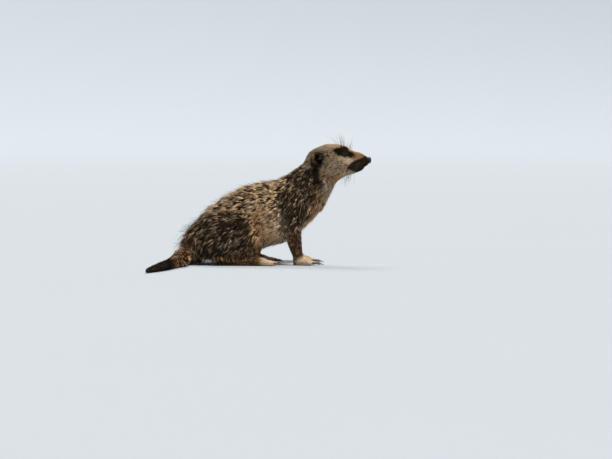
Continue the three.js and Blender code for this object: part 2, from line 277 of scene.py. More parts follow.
class CoatSettings(bpy.types.PropertyGroup):
    fullness: FloatProperty(
        name="Fullness", description="How many locks grow, as a share of the full coat",
        default=1.0, min=0.1, max=1.5,
    )
    lock_spacing: FloatProperty(
        name="Lock spacing", description="Distance between neighbouring locks, as a share of their length",
        default=0.195, min=0.05, max=0.5,
    )
    hair_width: FloatProperty(
        name="Hair width", description="Width of one strand of a lock on the body",
        default=0.58 * MM, min=0.1 * MM, max=2 * MM, unit="LENGTH", precision=5,
    )
    # dark hair also colours the painted shadow below the ear and the painted shade at the heel; cream also
    # colours the painted highlight over the ear
    dark: colour_choice("Dark hair", "Roots, dark hair tips and the dark markings", (0.014, 0.008, 0.005))
    tan: colour_choice("Tan hair", "The warm pale band of the body's hair", (0.76, 0.43, 0.18))
    cream: colour_choice("Cream hair", "The lightest hair bands, cheeks, throat and feet", (1.0, 0.75, 0.475))
    rufous: colour_choice("Rufous hair", "Flank, rump and root of the tail", (0.68, 0.32, 0.10))
    # grey is the light band darkened as painted shade: it is mixed in wherever the shade mark lies, not only
    # on neck and shoulder
    grey: colour_choice("Grey hair", "Pale band of the hair on neck and shoulder", (0.25, 0.155, 0.095))


class StageSettings(bpy.types.PropertyGroup):
    distance: FloatProperty(
        name="Camera distance", description="From the camera to the animal",
        default=3.6, min=1, unit="LENGTH",
    )
    elevation: FloatProperty(
        name="Camera elevation", description="How far the camera looks down",
        default=math.radians(3), subtype="ANGLE",
    )
    view_width: FloatProperty(
        name="View width", description="Width of the picture at the animal",
        default=0.7344, min=0.1, unit="LENGTH",
    )
    floor: colour_choice("Floor", "Colour of the floor", (0.38, 0.44, 0.52))


# ---- shader sums ------------------------------------------------------------------------------
def math_node(operation, swapped=False):
    """A method of Wire that adds one Math node; swapped for an operator's reflected form."""

    def add(self, *others):
        terms = (*others, self) if swapped else (self, *others)
        return self.graph.node("ShaderNodeMath", {"operation": operation}, dict(enumerate(terms)))

    return add


class Wire:
    """A shader socket that sums can be written with."""

    def __init__(self, graph, socket):
        self.graph, self.socket = graph, socket

    __add__, __radd__ = math_node("ADD"), math_node("ADD", True)
    __sub__, __rsub__ = math_node("SUBTRACT"), math_node("SUBTRACT", True)
    __mul__, __rmul__ = math_node("MULTIPLY"), math_node("MULTIPLY", True)
    __abs__ = math_node("ABSOLUTE")
    fraction = math_node("FRACT")
    root = math_node("SQRT")

    def rise(self, low, high):
        """0 below low, 1 above high, and a smooth rise between; low may be the larger, for a fall."""
        sockets = {0: self, 1: low, 2: high, 3: 0.0, 4: 1.0}
        return self.graph.node("ShaderNodeMapRange", {"interpolation_type": "SMOOTHSTEP"}, sockets)


class Graph:
    """A material's nodes, added one at a time."""

    def __init__(self, name):
        self.material = bpy.data.materials.new(name)
        self.material.use_nodes = True
        self.tree = self.material.node_tree
        self.tree.nodes.clear()

    def node(self, kind, settings=None, sockets=None, out=0):
        """Adds a node, sets it up, then fills or links its sockets; gives its output."""
        made = self.tree.nodes.new(kind)
        for key, value in (settings or {}).items():
            setattr(made, key, value)
        for key, value in (sockets or {}).items():
            if isinstance(value, Wire):
                self.tree.links.new(value.socket, made.inputs[key])
            else:
                made.inputs[key].default_value = value
        return Wire(self, made.outputs[out]) if len(made.outputs) else made

    def attribute(self, name):
        return self.node("ShaderNodeAttribute", {"attribute_name": name}, out=2)

    def position(self):
        return self.node("ShaderNodeTexCoord", out=3)

    def noise(self, scale, detail=2.0):
        sockets = {"Vector": self.position(), "Scale": scale, "Detail": detail}
        return self.node("ShaderNodeTexNoise", None, sockets)

    def blend(self, share, first, second, kind="MIX"):
        settings = {"data_type": "RGBA", "blend_type": kind}
        ends = [c if isinstance(c, Wire) else (*c, 1.0) for c in (first, second)]
        return self.node("ShaderNodeMix", settings, {0: share, 6: ends[0], 7: ends[1]}, out=2)

    def bump(self, height, strength, distance):
        sockets = {"Height": height, "Strength": strength, "Distance": distance}
        return self.node("ShaderNodeBump", None, sockets)

    def finish(self, colour, roughness, **others):
        sockets = {"Base Color": colour, "Roughness": roughness}
        sockets.update({key.replace("_", " "): value for key, value in others.items()})
        surface = self.node("ShaderNodeBsdfPrincipled", None, sockets)
        self.node("ShaderNodeOutputMaterial", None, {"Surface": surface})
        return self.material


# ---- materials --------------------------------------------------------------------------------
def times(share, colour):
    return tuple(share * c for c in colour)


def hair_colour(g, hue, along):
    """Colour of the coat.

    hue differs from strand to strand and along runs from a hair's root to its tip, both 0 to 1.
    """
    coat = bpy.context.scene.meerkat_coat
    dark_hair, tan, cream, rufous, grey = (
        tuple(colour) for colour in (coat.dark, coat.tan, coat.cream, coat.rufous, coat.grey)
    )
    dark, pale, rusty, painted_shade_and_dark_flecks, bar = (g.attribute(mark) for mark in MARKS)
    other = (hue * 7.31).fraction()  # two more values that differ from strand to strand
    third = (hue * 23.7).fraction()
    # the hair's light band, from tan to cream, redder in places, and turned grey-brown where shade is painted
    light = g.blend((hue + 0.35 * other).rise(0.25, 0.75), tan, cream)
    light = g.blend(rusty * (0.3 + 0.7 * third), light, rufous)
    light = g.blend(painted_shade_and_dark_flecks * 0.35, light, grey)
    # the band lies past the hair's middle; strands of low hue lack it, and more of them where shade is
    # painted
    band = abs(along - (0.64 + 0.14 * other)).rise(0.42, 0.20)
    showing = (hue + 0.06 * rusty - 0.62 * painted_shade_and_dark_flecks - 0.36 * bar).rise(0.20, 0.34)
    root = g.blend(rusty * 0.4, dark_hair, times(0.3, rufous))
    colour = g.blend(band * (0.05 + 0.95 * showing), root, light)
    # pale hair is cream almost to its root
    whitest = tuple(0.65 * c + 0.35 for c in cream)
    soft_cream = g.blend((hue + 0.4 * third).rise(0.0, 0.9), times(0.62, cream), whitest)
    soft_cream = g.blend(along.rise(0.4, 0.0) * 0.7, soft_cream, times(0.3, tan))
    colour = g.blend(pale, colour, soft_cream)
    black = g.blend(third * 0.12, times(0.4, dark_hair), times(0.11, tan))
    return g.blend(dark, colour, black)


def coat_material():
    g = Graph("meerkat coat")
    hue, along = g.attribute("hue"), g.attribute("along")
    return g.finish(hair_colour(g, hue, along), 0.62 + 0.18 * hue, Specular_IOR_Level=0.1)


def skin_material():
    g = Graph("meerkat skin")
    fine = g.noise(900.0, 3.0)
    coarse = g.noise(420.0, 2.0)
    colour = hair_colour(g, (coarse * 3.0).fraction(), 0.1 + 0.5 * fine)
    colour = g.blend(1.0, colour, (0.42, 0.38, 0.35), "MULTIPLY")
    return g.finish(colour, 0.85, Normal=g.bump(fine, 0.6, 0.4 * MM), Specular_IOR_Level=0.1)


def eye_material():
    g = Graph("meerkat eye")
    along, across = g.attribute("eye_along"), g.attribute("eye_across")
    pupil = (along * along * 0.55 + across * across * 1.25).root()  # broad and flattened
    whole = (along * along + across * across).root()
    streak = g.noise(1500.0, 3.0)
    iris = g.blend(streak, (0.009, 0.004, 0.0025), (0.030, 0.013, 0.006))
    colour = g.blend(pupil.rise(0.40, 0.34), iris, (0.002, 0.0015, 0.0015))
    colour = g.blend(whole.rise(0.64, 0.74), colour, (0.006, 0.004, 0.003))
    return g.finish(colour, 0.05, Specular_IOR_Level=0.33)


def nose_material():
    g = Graph("meerkat nose leather")
    pebbles = g.node("ShaderNodeTexVoronoi", None, {"Vector": g.position(), "Scale": 2400.0})
    tone = g.noise(500.0)
    colour = g.blend(tone, (0.006, 0.004, 0.004), (0.022, 0.015, 0.013))
    return g.finish(colour, 0.36 + 0.2 * tone, Normal=g.bump(pebbles, 0.6, 0.2 * MM), Specular_IOR_Level=0.2)


def claw_material():
    g = Graph("meerkat claw horn")
    along = g.attribute("along")
    streaks = g.noise(1200.0, 3.0)
    colour = g.blend(along, (0.030, 0.019, 0.014), (0.10, 0.066, 0.044))
    colour = g.blend(streaks.rise(0.45, 0.75) * 0.5, colour, (0.012, 0.008, 0.007))
    return g.finish(colour, 0.34 + 0.22 * streaks, Normal=g.bump(streaks, 0.25, 0.1 * MM))


def whisker_material():
    g = Graph("meerkat whisker")
    along = g.attribute("along")
    return g.finish(g.blend(along, (0.012, 0.009, 0.008), (0.06, 0.045, 0.035)), 0.4)


def floor_material():
    g = Graph("floor")
    tone = g.noise(3.0, 2.0)
    base = tuple(bpy.context.scene.meerkat_stage.floor)
    colour = g.blend(tone * 0.2, base, times(0.93, base))
    return g.finish(colour, 0.8, Specular_IOR_Level=0.2)


# ---- meshes as arrays -------------------------------------------------------------------------
def read_mesh(mesh):
    """A mesh's vertices and triangles as arrays."""
    co = np.empty(len(mesh.vertices) * 3, np.float32)
    mesh.vertices.foreach_get("co", co)
    mesh.calc_loop_triangles()
    tris = np.empty(len(mesh.loop_triangles) * 3, np.int32)
    mesh.loop_triangles.foreach_get("vertices", tris)
    return co.reshape(-1, 3).astype(float), tris.reshape(-1, 3)


def move_corners(mesh, co):
    """Puts the mesh's corners at these places."""
    mesh.vertices.foreach_set("co", co.astype(np.float32).ravel())


def write_values(mesh, name, values):
    """Stores one number or vector for each vertex under a name that materials and other pieces read."""
    vector = values.ndim == 2
    kind = "FLOAT_VECTOR" if vector else "FLOAT"
    found = mesh.attributes.get(name) or mesh.attributes.new(name, kind, "POINT")
    flat = np.ascontiguousarray(values, np.float32).ravel()
    found.data.foreach_set("vector" if vector else "value", flat)


def read_values(mesh, name):
    found = mesh.attributes[name]
    vector = found.data_type == "FLOAT_VECTOR"
    values = np.empty(len(mesh.vertices) * (3 if vector else 1), np.float32)
    found.data.foreach_get("vector" if vector else "value", values)
    return values.reshape(-1, 3).astype(float) if vector else values.astype(float)


def new_piece(name, co, tris, values=None, uv=None):
    """A smooth-shaded object from arrays."""
    mesh = bpy.data.meshes.new(name)
    mesh.vertices.add(len(co))
    mesh.vertices.foreach_set("co", np.ascontiguousarray(co, np.float32).ravel())
    mesh.loops.add(len(tris) * 3)
    mesh.loops.foreach_set("vertex_index", np.ascontiguousarray(tris, np.int32).ravel())
    mesh.polygons.add(len(tris))
    mesh.polygons.foreach_set("loop_start", np.arange(0, len(tris) * 3, 3, dtype=np.int32))
    for key, array in (values or {}).items():
        write_values(mesh, key, array)
    if uv is not None:
        layer = mesh.uv_layers.new(name="OFBake")
        layer.uv.foreach_set("vector", np.ascontiguousarray(uv[tris.ravel()], np.float32).ravel())
    mesh.update(calc_edges=True)
    mesh.shade_smooth()
    made = bpy.data.objects.new(name, mesh)
    bpy.context.scene.collection.objects.link(made)
    return made


def grid_triangles(rows, columns, wrap=True):
    """Triangles of a grid of points numbered row by row; wrap joins the last column to the first."""
    r, c = np.meshgrid(np.arange(rows - 1), np.arange(columns if wrap else columns - 1), indexing="ij")
    a, b = r * columns + c, r * columns + (c + 1) % columns
    d, e = a + columns, b + columns
    return np.concatenate([np.stack([a, b, e], -1).reshape(-1, 3), np.stack([a, e, d], -1).reshape(-1, 3)])


def unit(vectors):
    return vectors / np.maximum(np.linalg.norm(vectors, axis=-1, keepdims=True), 1e-12)


def rise(values, low, high):
    """Smooth step from 0 at low to 1 at high; low may be the larger, for a fall."""
    t = np.clip((values - low) / (high - low), 0, 1)
    return t * t * (3 - 2 * t)


class Hide:
    """A surface as arrays, with the sums over neighbours that rounding and grooming need."""

    def __init__(self, co, tris):
        self.co, self.tris = co, tris
        ends = np.concatenate([tris[:, [0, 1]], tris[:, [1, 2]], tris[:, [2, 0]]]).astype(np.int64)
        ends = np.concatenate([ends, ends[:, ::-1]])
        keys = np.unique(ends[:, 0] * len(co) + ends[:, 1])
        self.here, self.there = keys // len(co), keys % len(co)
        self.count = np.maximum(np.bincount(self.here, minlength=len(co)), 1)

    def around(self, values):
        """Mean of each vertex's neighbours."""
        if values.ndim == 1:
            return np.bincount(self.here, values[self.there], len(self.co)) / self.count
        return np.stack([self.around(values[:, k]) for k in range(values.shape[1])], 1)

    def spread(self, values, rounds):
        for _ in range(rounds):
            values = 0.4 * values + 0.6 * self.around(values)
        return values

    def round_off(self, rounds, share=1.0):
        """Smooths the form and keeps its volume. share may differ from vertex to vertex."""
        share = np.asarray(share).reshape(-1, 1)
        for _ in range(rounds):
            for step in (0.55, -0.57):
                self.co = self.co + step * share * (self.around(self.co) - self.co)

    def normals(self):
        a, b, c = (self.co[self.tris[:, k]] for k in range(3))
        face = np.cross(b - a, c - a)
        total = np.zeros(self.co.shape)
        for axis in range(3):
            for k in range(3):
                total[:, axis] += np.bincount(self.tris[:, k], face[:, axis], len(self.co))
        return unit(total)

    def mottle(self, rng, rounds):
        """Random values that change slowly over the surface, with a spread of about 1."""
        values = self.spread(rng.standard_normal(len(self.co)), rounds)
        return (values - values.mean()) / values.std()


def on_animal(co):
    """Places in metres as (ahead, out, high) in millimetres."""
    return np.stack([co[:, 0], np.abs(co[:, 1] - MIDDLE), co[:, 2]], 1) / MM


def place(ahead, out, high, side=1):
    """(ahead, out, high) in millimetres as a place in metres."""
    return np.array([ahead * MM, MIDDLE + side * out * MM, high * MM])


def stem(node):
    return node.removesuffix("_right").removesuffix("_left")


def pick_none():
    bpy.ops.object.select_all(action="DESELECT")


def pick(*objects):
    """Selects these objects only; the last one is active."""
    pick_none()
    for one in objects:
        one.select_set(True)
    bpy.context.view_layer.objects.active = objects[-1]


def apply_modifier(obj, kind, **settings):
    pick(obj)
    bpy.ops.object.modifier_add(type=kind)
    modifier = obj.modifiers[-1]
    for key, value in settings.items():
        setattr(modifier, key, value)
    bpy.ops.object.modifier_apply(modifier=modifier.name)


def dress(obj, material):
    obj.data.materials.clear()
    obj.data.materials.append(material)
    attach(obj, "root")


# ---- skin -------------------------------------------------------------------------------------
def melted_flesh(voxel):
    """Copies of the flesh parts and eyes, grown until they meet and melted into one closed skin."""
    copies = []
    for name in [*FLESH, "eye_right", "eye_left"]:
        if name.startswith("ear"):
            continue
        copy = frame["nodes"][name].copy()
        copy.data = copy.data.copy()
        copy.parent = None
        bpy.context.scene.collection.objects.link(copy)
        pick(copy)
        bpy.ops.object.mode_set(mode="EDIT")
        bpy.ops.mesh.select_all(action="SELECT")
        bpy.ops.mesh.remove_doubles(threshold=0.02 * MM)
        bpy.ops.object.mode_set(mode="OBJECT")
        apply_modifier(copy, "DISPLACE", strength=GROWTH.get(stem(name), LEAST_GROWTH) * MM, mid_level=0.0)
        copies.append(copy)
    pick(*copies)
    bpy.ops.object.join()
    skin = bpy.context.view_layer.objects.active
    for key in [key for key in skin.keys() if key.startswith("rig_")]:
        del skin[key]
    skin.name = skin.data.name = "skin"
    apply_modifier(skin, "REMESH", mode="VOXEL", voxel_size=voxel)
    keep_outer_skin(skin)
    return skin


def keep_outer_skin(skin):
    """Removes the walls of hollows left inside, where parts meet but don't fill the room between them."""
    co, _ = read_mesh(skin.data)
    for domain in (skin.data.vertices, skin.data.edges, skin.data.polygons):
        domain.foreach_set("select", np.zeros(len(domain), bool))
    skin.data.vertices[int(co[:, 0].argmax())].select = True
    pick(skin)
    bpy.ops.object.mode_set(mode="EDIT")
    bpy.ops.mesh.select_mode(type="VERT")
    bpy.ops.mesh.select_linked()
    bpy.ops.mesh.select_all(action="INVERT")
    bpy.ops.mesh.delete(type="VERT")
    bpy.ops.object.mode_set(mode="OBJECT")


def nearest_part(co):
    """For each place, the number in FLESH of the carved part whose surface is nearest."""
    points, faces, owner = [], [], []
    for k, name in enumerate(FLESH):
        part, tris = read_mesh(frame["nodes"][name].data)
        faces.extend((tris + sum(map(len, points))).tolist())
        points.append(part)
        owner.extend([k] * len(tris))
    tree = BVHTree.FromPolygons(np.concatenate(points).tolist(), faces)
    return np.array([owner[tree.find_nearest(p)[2]] for p in co.tolist()])


def tail_line():
    """The tail's middle line seen from above: a cubic that gives its X, in metres, for its Y."""
    tail = [name for name in FLESH if name.startswith("tail")]
    co = np.concatenate([read_mesh(frame["nodes"][name].data)[0] for name in tail])
    return np.polyfit(co[:, 1], co[:, 0], 3)


def groom(hide, part):
    """Coat depth and lock length in metres, and the lie of the hair, for each vertex."""
    spots = on_animal(hide.co)
    outwards = np.sign(hide.co[:, 1] - MIDDLE)
    depth, length, lie = np.zeros(len(spots)), np.zeros(len(spots)), np.zeros((len(spots), 3))
    tail_slope = np.polyder(tail_line())
    for k, name in enumerate(FLESH):
        here = part == k
        rows = CHART[stem(name)]
        near = np.stack([1 / (np.sum((spots[here] - row[0]) ** 2, 1) + 9) ** 1.5 for row in rows], 1)
        near /= near.sum(1, keepdims=True)
        depth[here] = near @ [row[1] for row in rows]
        length[here] = near @ [row[2] for row in rows]
        if rows[0][3] is None:
            slope = np.polyval(tail_slope, hide.co[here, 1])
            lie[here] = unit(np.stack([-slope, -np.ones(len(slope)), np.zeros(len(slope))], 1))
        else:
            lie[here] = near @ np.array([row[3] for row in rows], float)
            lie[here, 1] *= outwards[here]
    return hide.spread(depth, 30) * MM, hide.spread(length, 30) * MM, hide.spread(unit(lie), 24)


def along_tangent(vectors, normals):
    return unit(vectors - np.sum(vectors * normals, 1, keepdims=True) * normals)


def refine(skin, chosen):
    """Subdivides the chosen faces once. chosen is a test of a face's centre in (ahead, out, high)."""
    pick(skin)
    mesh = skin.data
    centres = np.empty(len(mesh.polygons) * 3, np.float32)
    mesh.polygons.foreach_get("center", centres)
    wanted = chosen(*on_animal(centres.reshape(-1, 3)).T)
    for domain in (mesh.vertices, mesh.edges):
        domain.foreach_set("select", np.zeros(len(domain), bool))
    mesh.polygons.foreach_set("select", wanted)
    bpy.ops.object.mode_set(mode="EDIT")
    bpy.ops.mesh.select_mode(type="FACE")
    bpy.ops.mesh.subdivide(number_cuts=1)
    bpy.ops.object.mode_set(mode="OBJECT")


def mouth_distance(spots):
    """Distance in mm from each place to the line of the mouth, seen from the side."""
    flat = spots[:, [0, 2]]
    best = np.full(len(spots), 1e3)
    for a, b in zip(np.array(MOUTH[:-1]), np.array(MOUTH[1:])):
        t = np.clip((flat - a) @ (b - a) / ((b - a) @ (b - a)), 0, 1)
        best = np.minimum(best, np.linalg.norm(flat - a - t[:, None] * (b - a), axis=1))
    return best


LID_HEIGHT = 0.45 * MM  # of the skin over the eyeball, before the lids join it
EYE_REACH = 7 * MM  # skin nearer than this to the middle of an eye is lifted over it
SUNK = 0.9 * MM  # how far inside the eyeball's surface the skin lies behind the opening


def carve_face(hide):
    """Pushes the forms of the face in and out, cuts the mouth and wraps the skin round the eyes."""
    normals = hide.normals()
    spots = on_animal(hide.co)
    push = np.zeros(len(spots))
    for where, reach, amount in FACE_FORMS:
        push += amount * np.exp(-2 * np.sum((spots - where) ** 2, 1) / reach**2)
    corner = rise(spots[:, 0], MOUTH[-1][0] - 1, MOUTH[-1][0] + 3)
    push -= MOUTH_DEPTH * corner * np.exp(-((mouth_distance(spots) / MOUTH_WIDTH) ** 2))
    hide.co = hide.co + normals * (push * MM)[:, None]
    for side in SIDES:
        # the skin near an eye goes over it, is smoothed there, and goes in under the lids' opening
        off, far = from_eye(hide, side)
        over = np.maximum(far, np.where(far < EYE_REACH, EYE_RADIUS + LID_HEIGHT, 0))
        hide.co = np.array(EYE_CENTRES[side]) + off * (over / far)[:, None]
        near = rise(far, 12 * MM, EYE_REACH)[:, None]
        for _ in range(24):
            hide.co = hide.co + 0.5 * near * (hide.around(hide.co) - hide.co)
        off, far = from_eye(hide, side)
        open_here = rise(past_opening(side, off), math.radians(16), math.radians(5))
        sink = open_here * rise(far, 7.6 * MM, 6.6 * MM)
        sunk = np.minimum(far, EYE_RADIUS - SUNK)
        hide.co = hide.co + off * (sink * (sunk - far) / far)[:, None]


def from_eye(hide, side):
    """Each vertex's place from the middle of an eye, and its distance."""
    off = hide.co - np.array(EYE_CENTRES[side])
    return off, np.linalg.norm(off, axis=1)


def carve_feet(hide):
    """Parts the toes from one another and raises their knuckles."""
    nails = {name: read_mesh(frame["nodes"][name].data)[0] for name in frame["nodes"] if "claw" in name}
    roots = {name: co[co[:, 0] < co[:, 0].min() + 2 * MM].mean(0) / MM for name, co in nails.items()}
    tips = {name: co[co[:, 0].argmax()] / MM for name, co in nails.items()}
    x, y, z = hide.co.T / MM
    low = np.clip((z - 0.4) / 1.2, 0, 1) * (z < 14)  # the sole stays flat
    push = np.zeros(len(x))
    for foot in FEET:
        toes = [f"{foot}_{k}" for k in (1, 2, 3, 4)]
        for one, other in zip(toes, toes[1:]):
            start, end = (roots[one] + roots[other]) / 2, (tips[one] + tips[other]) / 2
            middle = start[1] + (x - start[0]) * (end[1] - start[1]) / (end[0] - start[0])
            reach = rise(x, start[0] - 12, start[0] - 6) * (0.7 + 0.9 * rise(x, start[0] - 5, start[0]))
            reach *= np.abs(x - start[0]) < 20
            push -= FURROW_DEPTH * reach * low * np.exp(-(((y - middle) / FURROW_WIDTH) ** 2))
        for toe in toes:
            for back, high, size in KNUCKLES:
                spot = roots[toe] + [-back, 0, high - roots[toe][2]]
                off = np.sum((hide.co / MM - spot) ** 2, 1)
                push += size * low * np.exp(-off / KNUCKLE_REACH**2)
    hide.co = hide.co + hide.normals() * (push * MM)[:, None]


def past_opening(side, off):
    """How far, as an angle, each direction from the eye's middle is outside the opening of the lids."""
    gaze, along, across = eye_axes(side)
    a, b = off @ along, off @ across
    angle = np.arctan2(np.hypot(a, b), off @ gaze)
    return angle - opening_at(np.arctan2(b, a))


def opening_at(turn):
    """The half angle of the lids' opening in each direction round the gaze: an almond."""
    wide, tall = LID_OPENING
    pointed = 1.7
    return (np.abs(np.cos(turn) / wide) ** pointed + np.abs(np.sin(turn) / tall) ** pointed) ** (-1 / pointed)


def eye_axes(side):
    """Gaze, the direction along the eye and the direction across it, for one side."""
    gaze = unit(np.array([GAZE[0], SIDES[side] * GAZE[1], GAZE[2]]))
    along = unit(np.cross(gaze, [0, 0, 1])) * -SIDES[side]
    across = unit(np.cross(gaze, along)) * SIDES[side]
    return gaze, along, across * np.sign(across[2])


# From inside the lids' edge to where they end under the skin: degrees past the edge of their
# opening, and height over the eyeball in mm.
LID_PROFILE = [
    (-7, -0.35), (-2.5, 0.02), (0, 0.42), (4, 0.66), (10, 0.76), (18, 0.72), (28, 0.56), (40, 0.3),
    (54, 0.0), (70, -0.5), (85, -1.2),
]


def lid(side):
    """The lids of one eye: a ring of skin that wraps the eyeball and goes in under the head's skin."""
    gaze, along, across = eye_axes(side)
    turn = np.linspace(0, 2 * np.pi, 64, endpoint=False)
    ring = np.cos(turn)[:, None] * along + np.sin(turn)[:, None] * across
    rows = []
    for past, height in LID_PROFILE:
        angle = (opening_at(turn) + math.radians(past))[:, None]
        rows.append((EYE_RADIUS + height * MM) * (np.cos(angle) * gaze + np.sin(angle) * ring))
    co = np.concatenate(rows) + np.array(EYE_CENTRES[side])
    tris = grid_triangles(len(rows), len(turn))
    bald = np.repeat([1.0 if past < 6 or past > 50 else 0.0 for past, _ in LID_PROFILE], len(turn))
    return facing(co, tris, np.array(EYE_CENTRES[side])), bald


def facing(co, tris, inside):
    """The same surface with its faces turned away from a place inside it."""
    a, b, c = (co[tris[:, k]] for k in range(3))
    outward = np.sum(np.cross(b - a, c - a) * (a - inside)) > 0
    return co, tris if outward else tris[:, ::-1]


# The ear's cup, from the middle of its back over the rim to the bottom of its hollow: how far out
# from the cup's axis, and how far along it from the rim, as shares of its size and depth.
EAR_BACK = [(0.05, -1.0), (0.35, -0.94), (0.62, -0.76), (0.83, -0.48), (0.95, -0.18), (1.0, 0.06)]
EAR_HOLLOW = [
    (0.97, 0.20), (0.90, 0.14), (0.80, -0.10), (0.66, -0.36), (0.46, -0.56), (0.22, -0.66), (0.03, -0.68),
]
EAR_WIDE, EAR_TALL, EAR_DEEP = 6.4 * MM, 9.2 * MM, 5.2 * MM
EAR_NOTCH = 0.30  # how much lower the rim is in front, as a share of the cup's depth


def ear(side):
    """One ear: a cupped crescent with a rolled rim, open forwards and outwards."""
    low, high = (np.array(corner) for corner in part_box("ear_" + side))
    sign = SIDES[side]
    outward = unit(np.array([0.32, sign * 0.93, 0.10]))
    up = unit(np.array([-0.22, sign * 0.10, 1.0]))
    up = unit(up - (up @ outward) * outward)
    ahead = np.cross(up, outward) * sign
    ahead = ahead * np.sign(ahead[0])
    centre = (low + high) / 2 - [0, 0, 1.2 * MM]
    turn = np.linspace(0, 2 * np.pi, 56, endpoint=False)
    notch = EAR_NOTCH * np.exp(-(((turn - math.radians(325)) / 0.55) ** 2))
    rows = []
    for spread, along in EAR_BACK + EAR_HOLLOW:
        lift = along - notch * (1 if along > -0.5 else 0.3)
        fold = 1 - 0.10 * np.cos(3 * turn) * (spread < 0.85) * (along > -0.6)
        across = (np.cos(turn) * EAR_WIDE * spread * fold)[:, None] * ahead
        upwards = (np.sin(turn) * EAR_TALL * spread * fold)[:, None] * up
        rows.append(centre - outward * 1.2 * MM + across + upwards + (lift * EAR_DEEP)[:, None] * outward)
    last = (len(rows) - 1) * len(turn)
    tris = [grid_triangles(len(rows), len(turn)), cap(len(turn), 0), cap(len(turn), last)[:, ::-1]]
    bald = np.repeat([0.0] * (len(EAR_BACK) + 2) + [0.75] * (len(EAR_HOLLOW) - 2), len(turn))
    return facing(np.concatenate(rows), np.concatenate(tris), centre - outward * 2.6 * MM), bald


def cap(count, first):
    """A fan that closes a ring of points."""
    k = np.arange(1, count - 1)
    return np.stack([np.full(len(k), first), first + k + 1, first + k], 1)


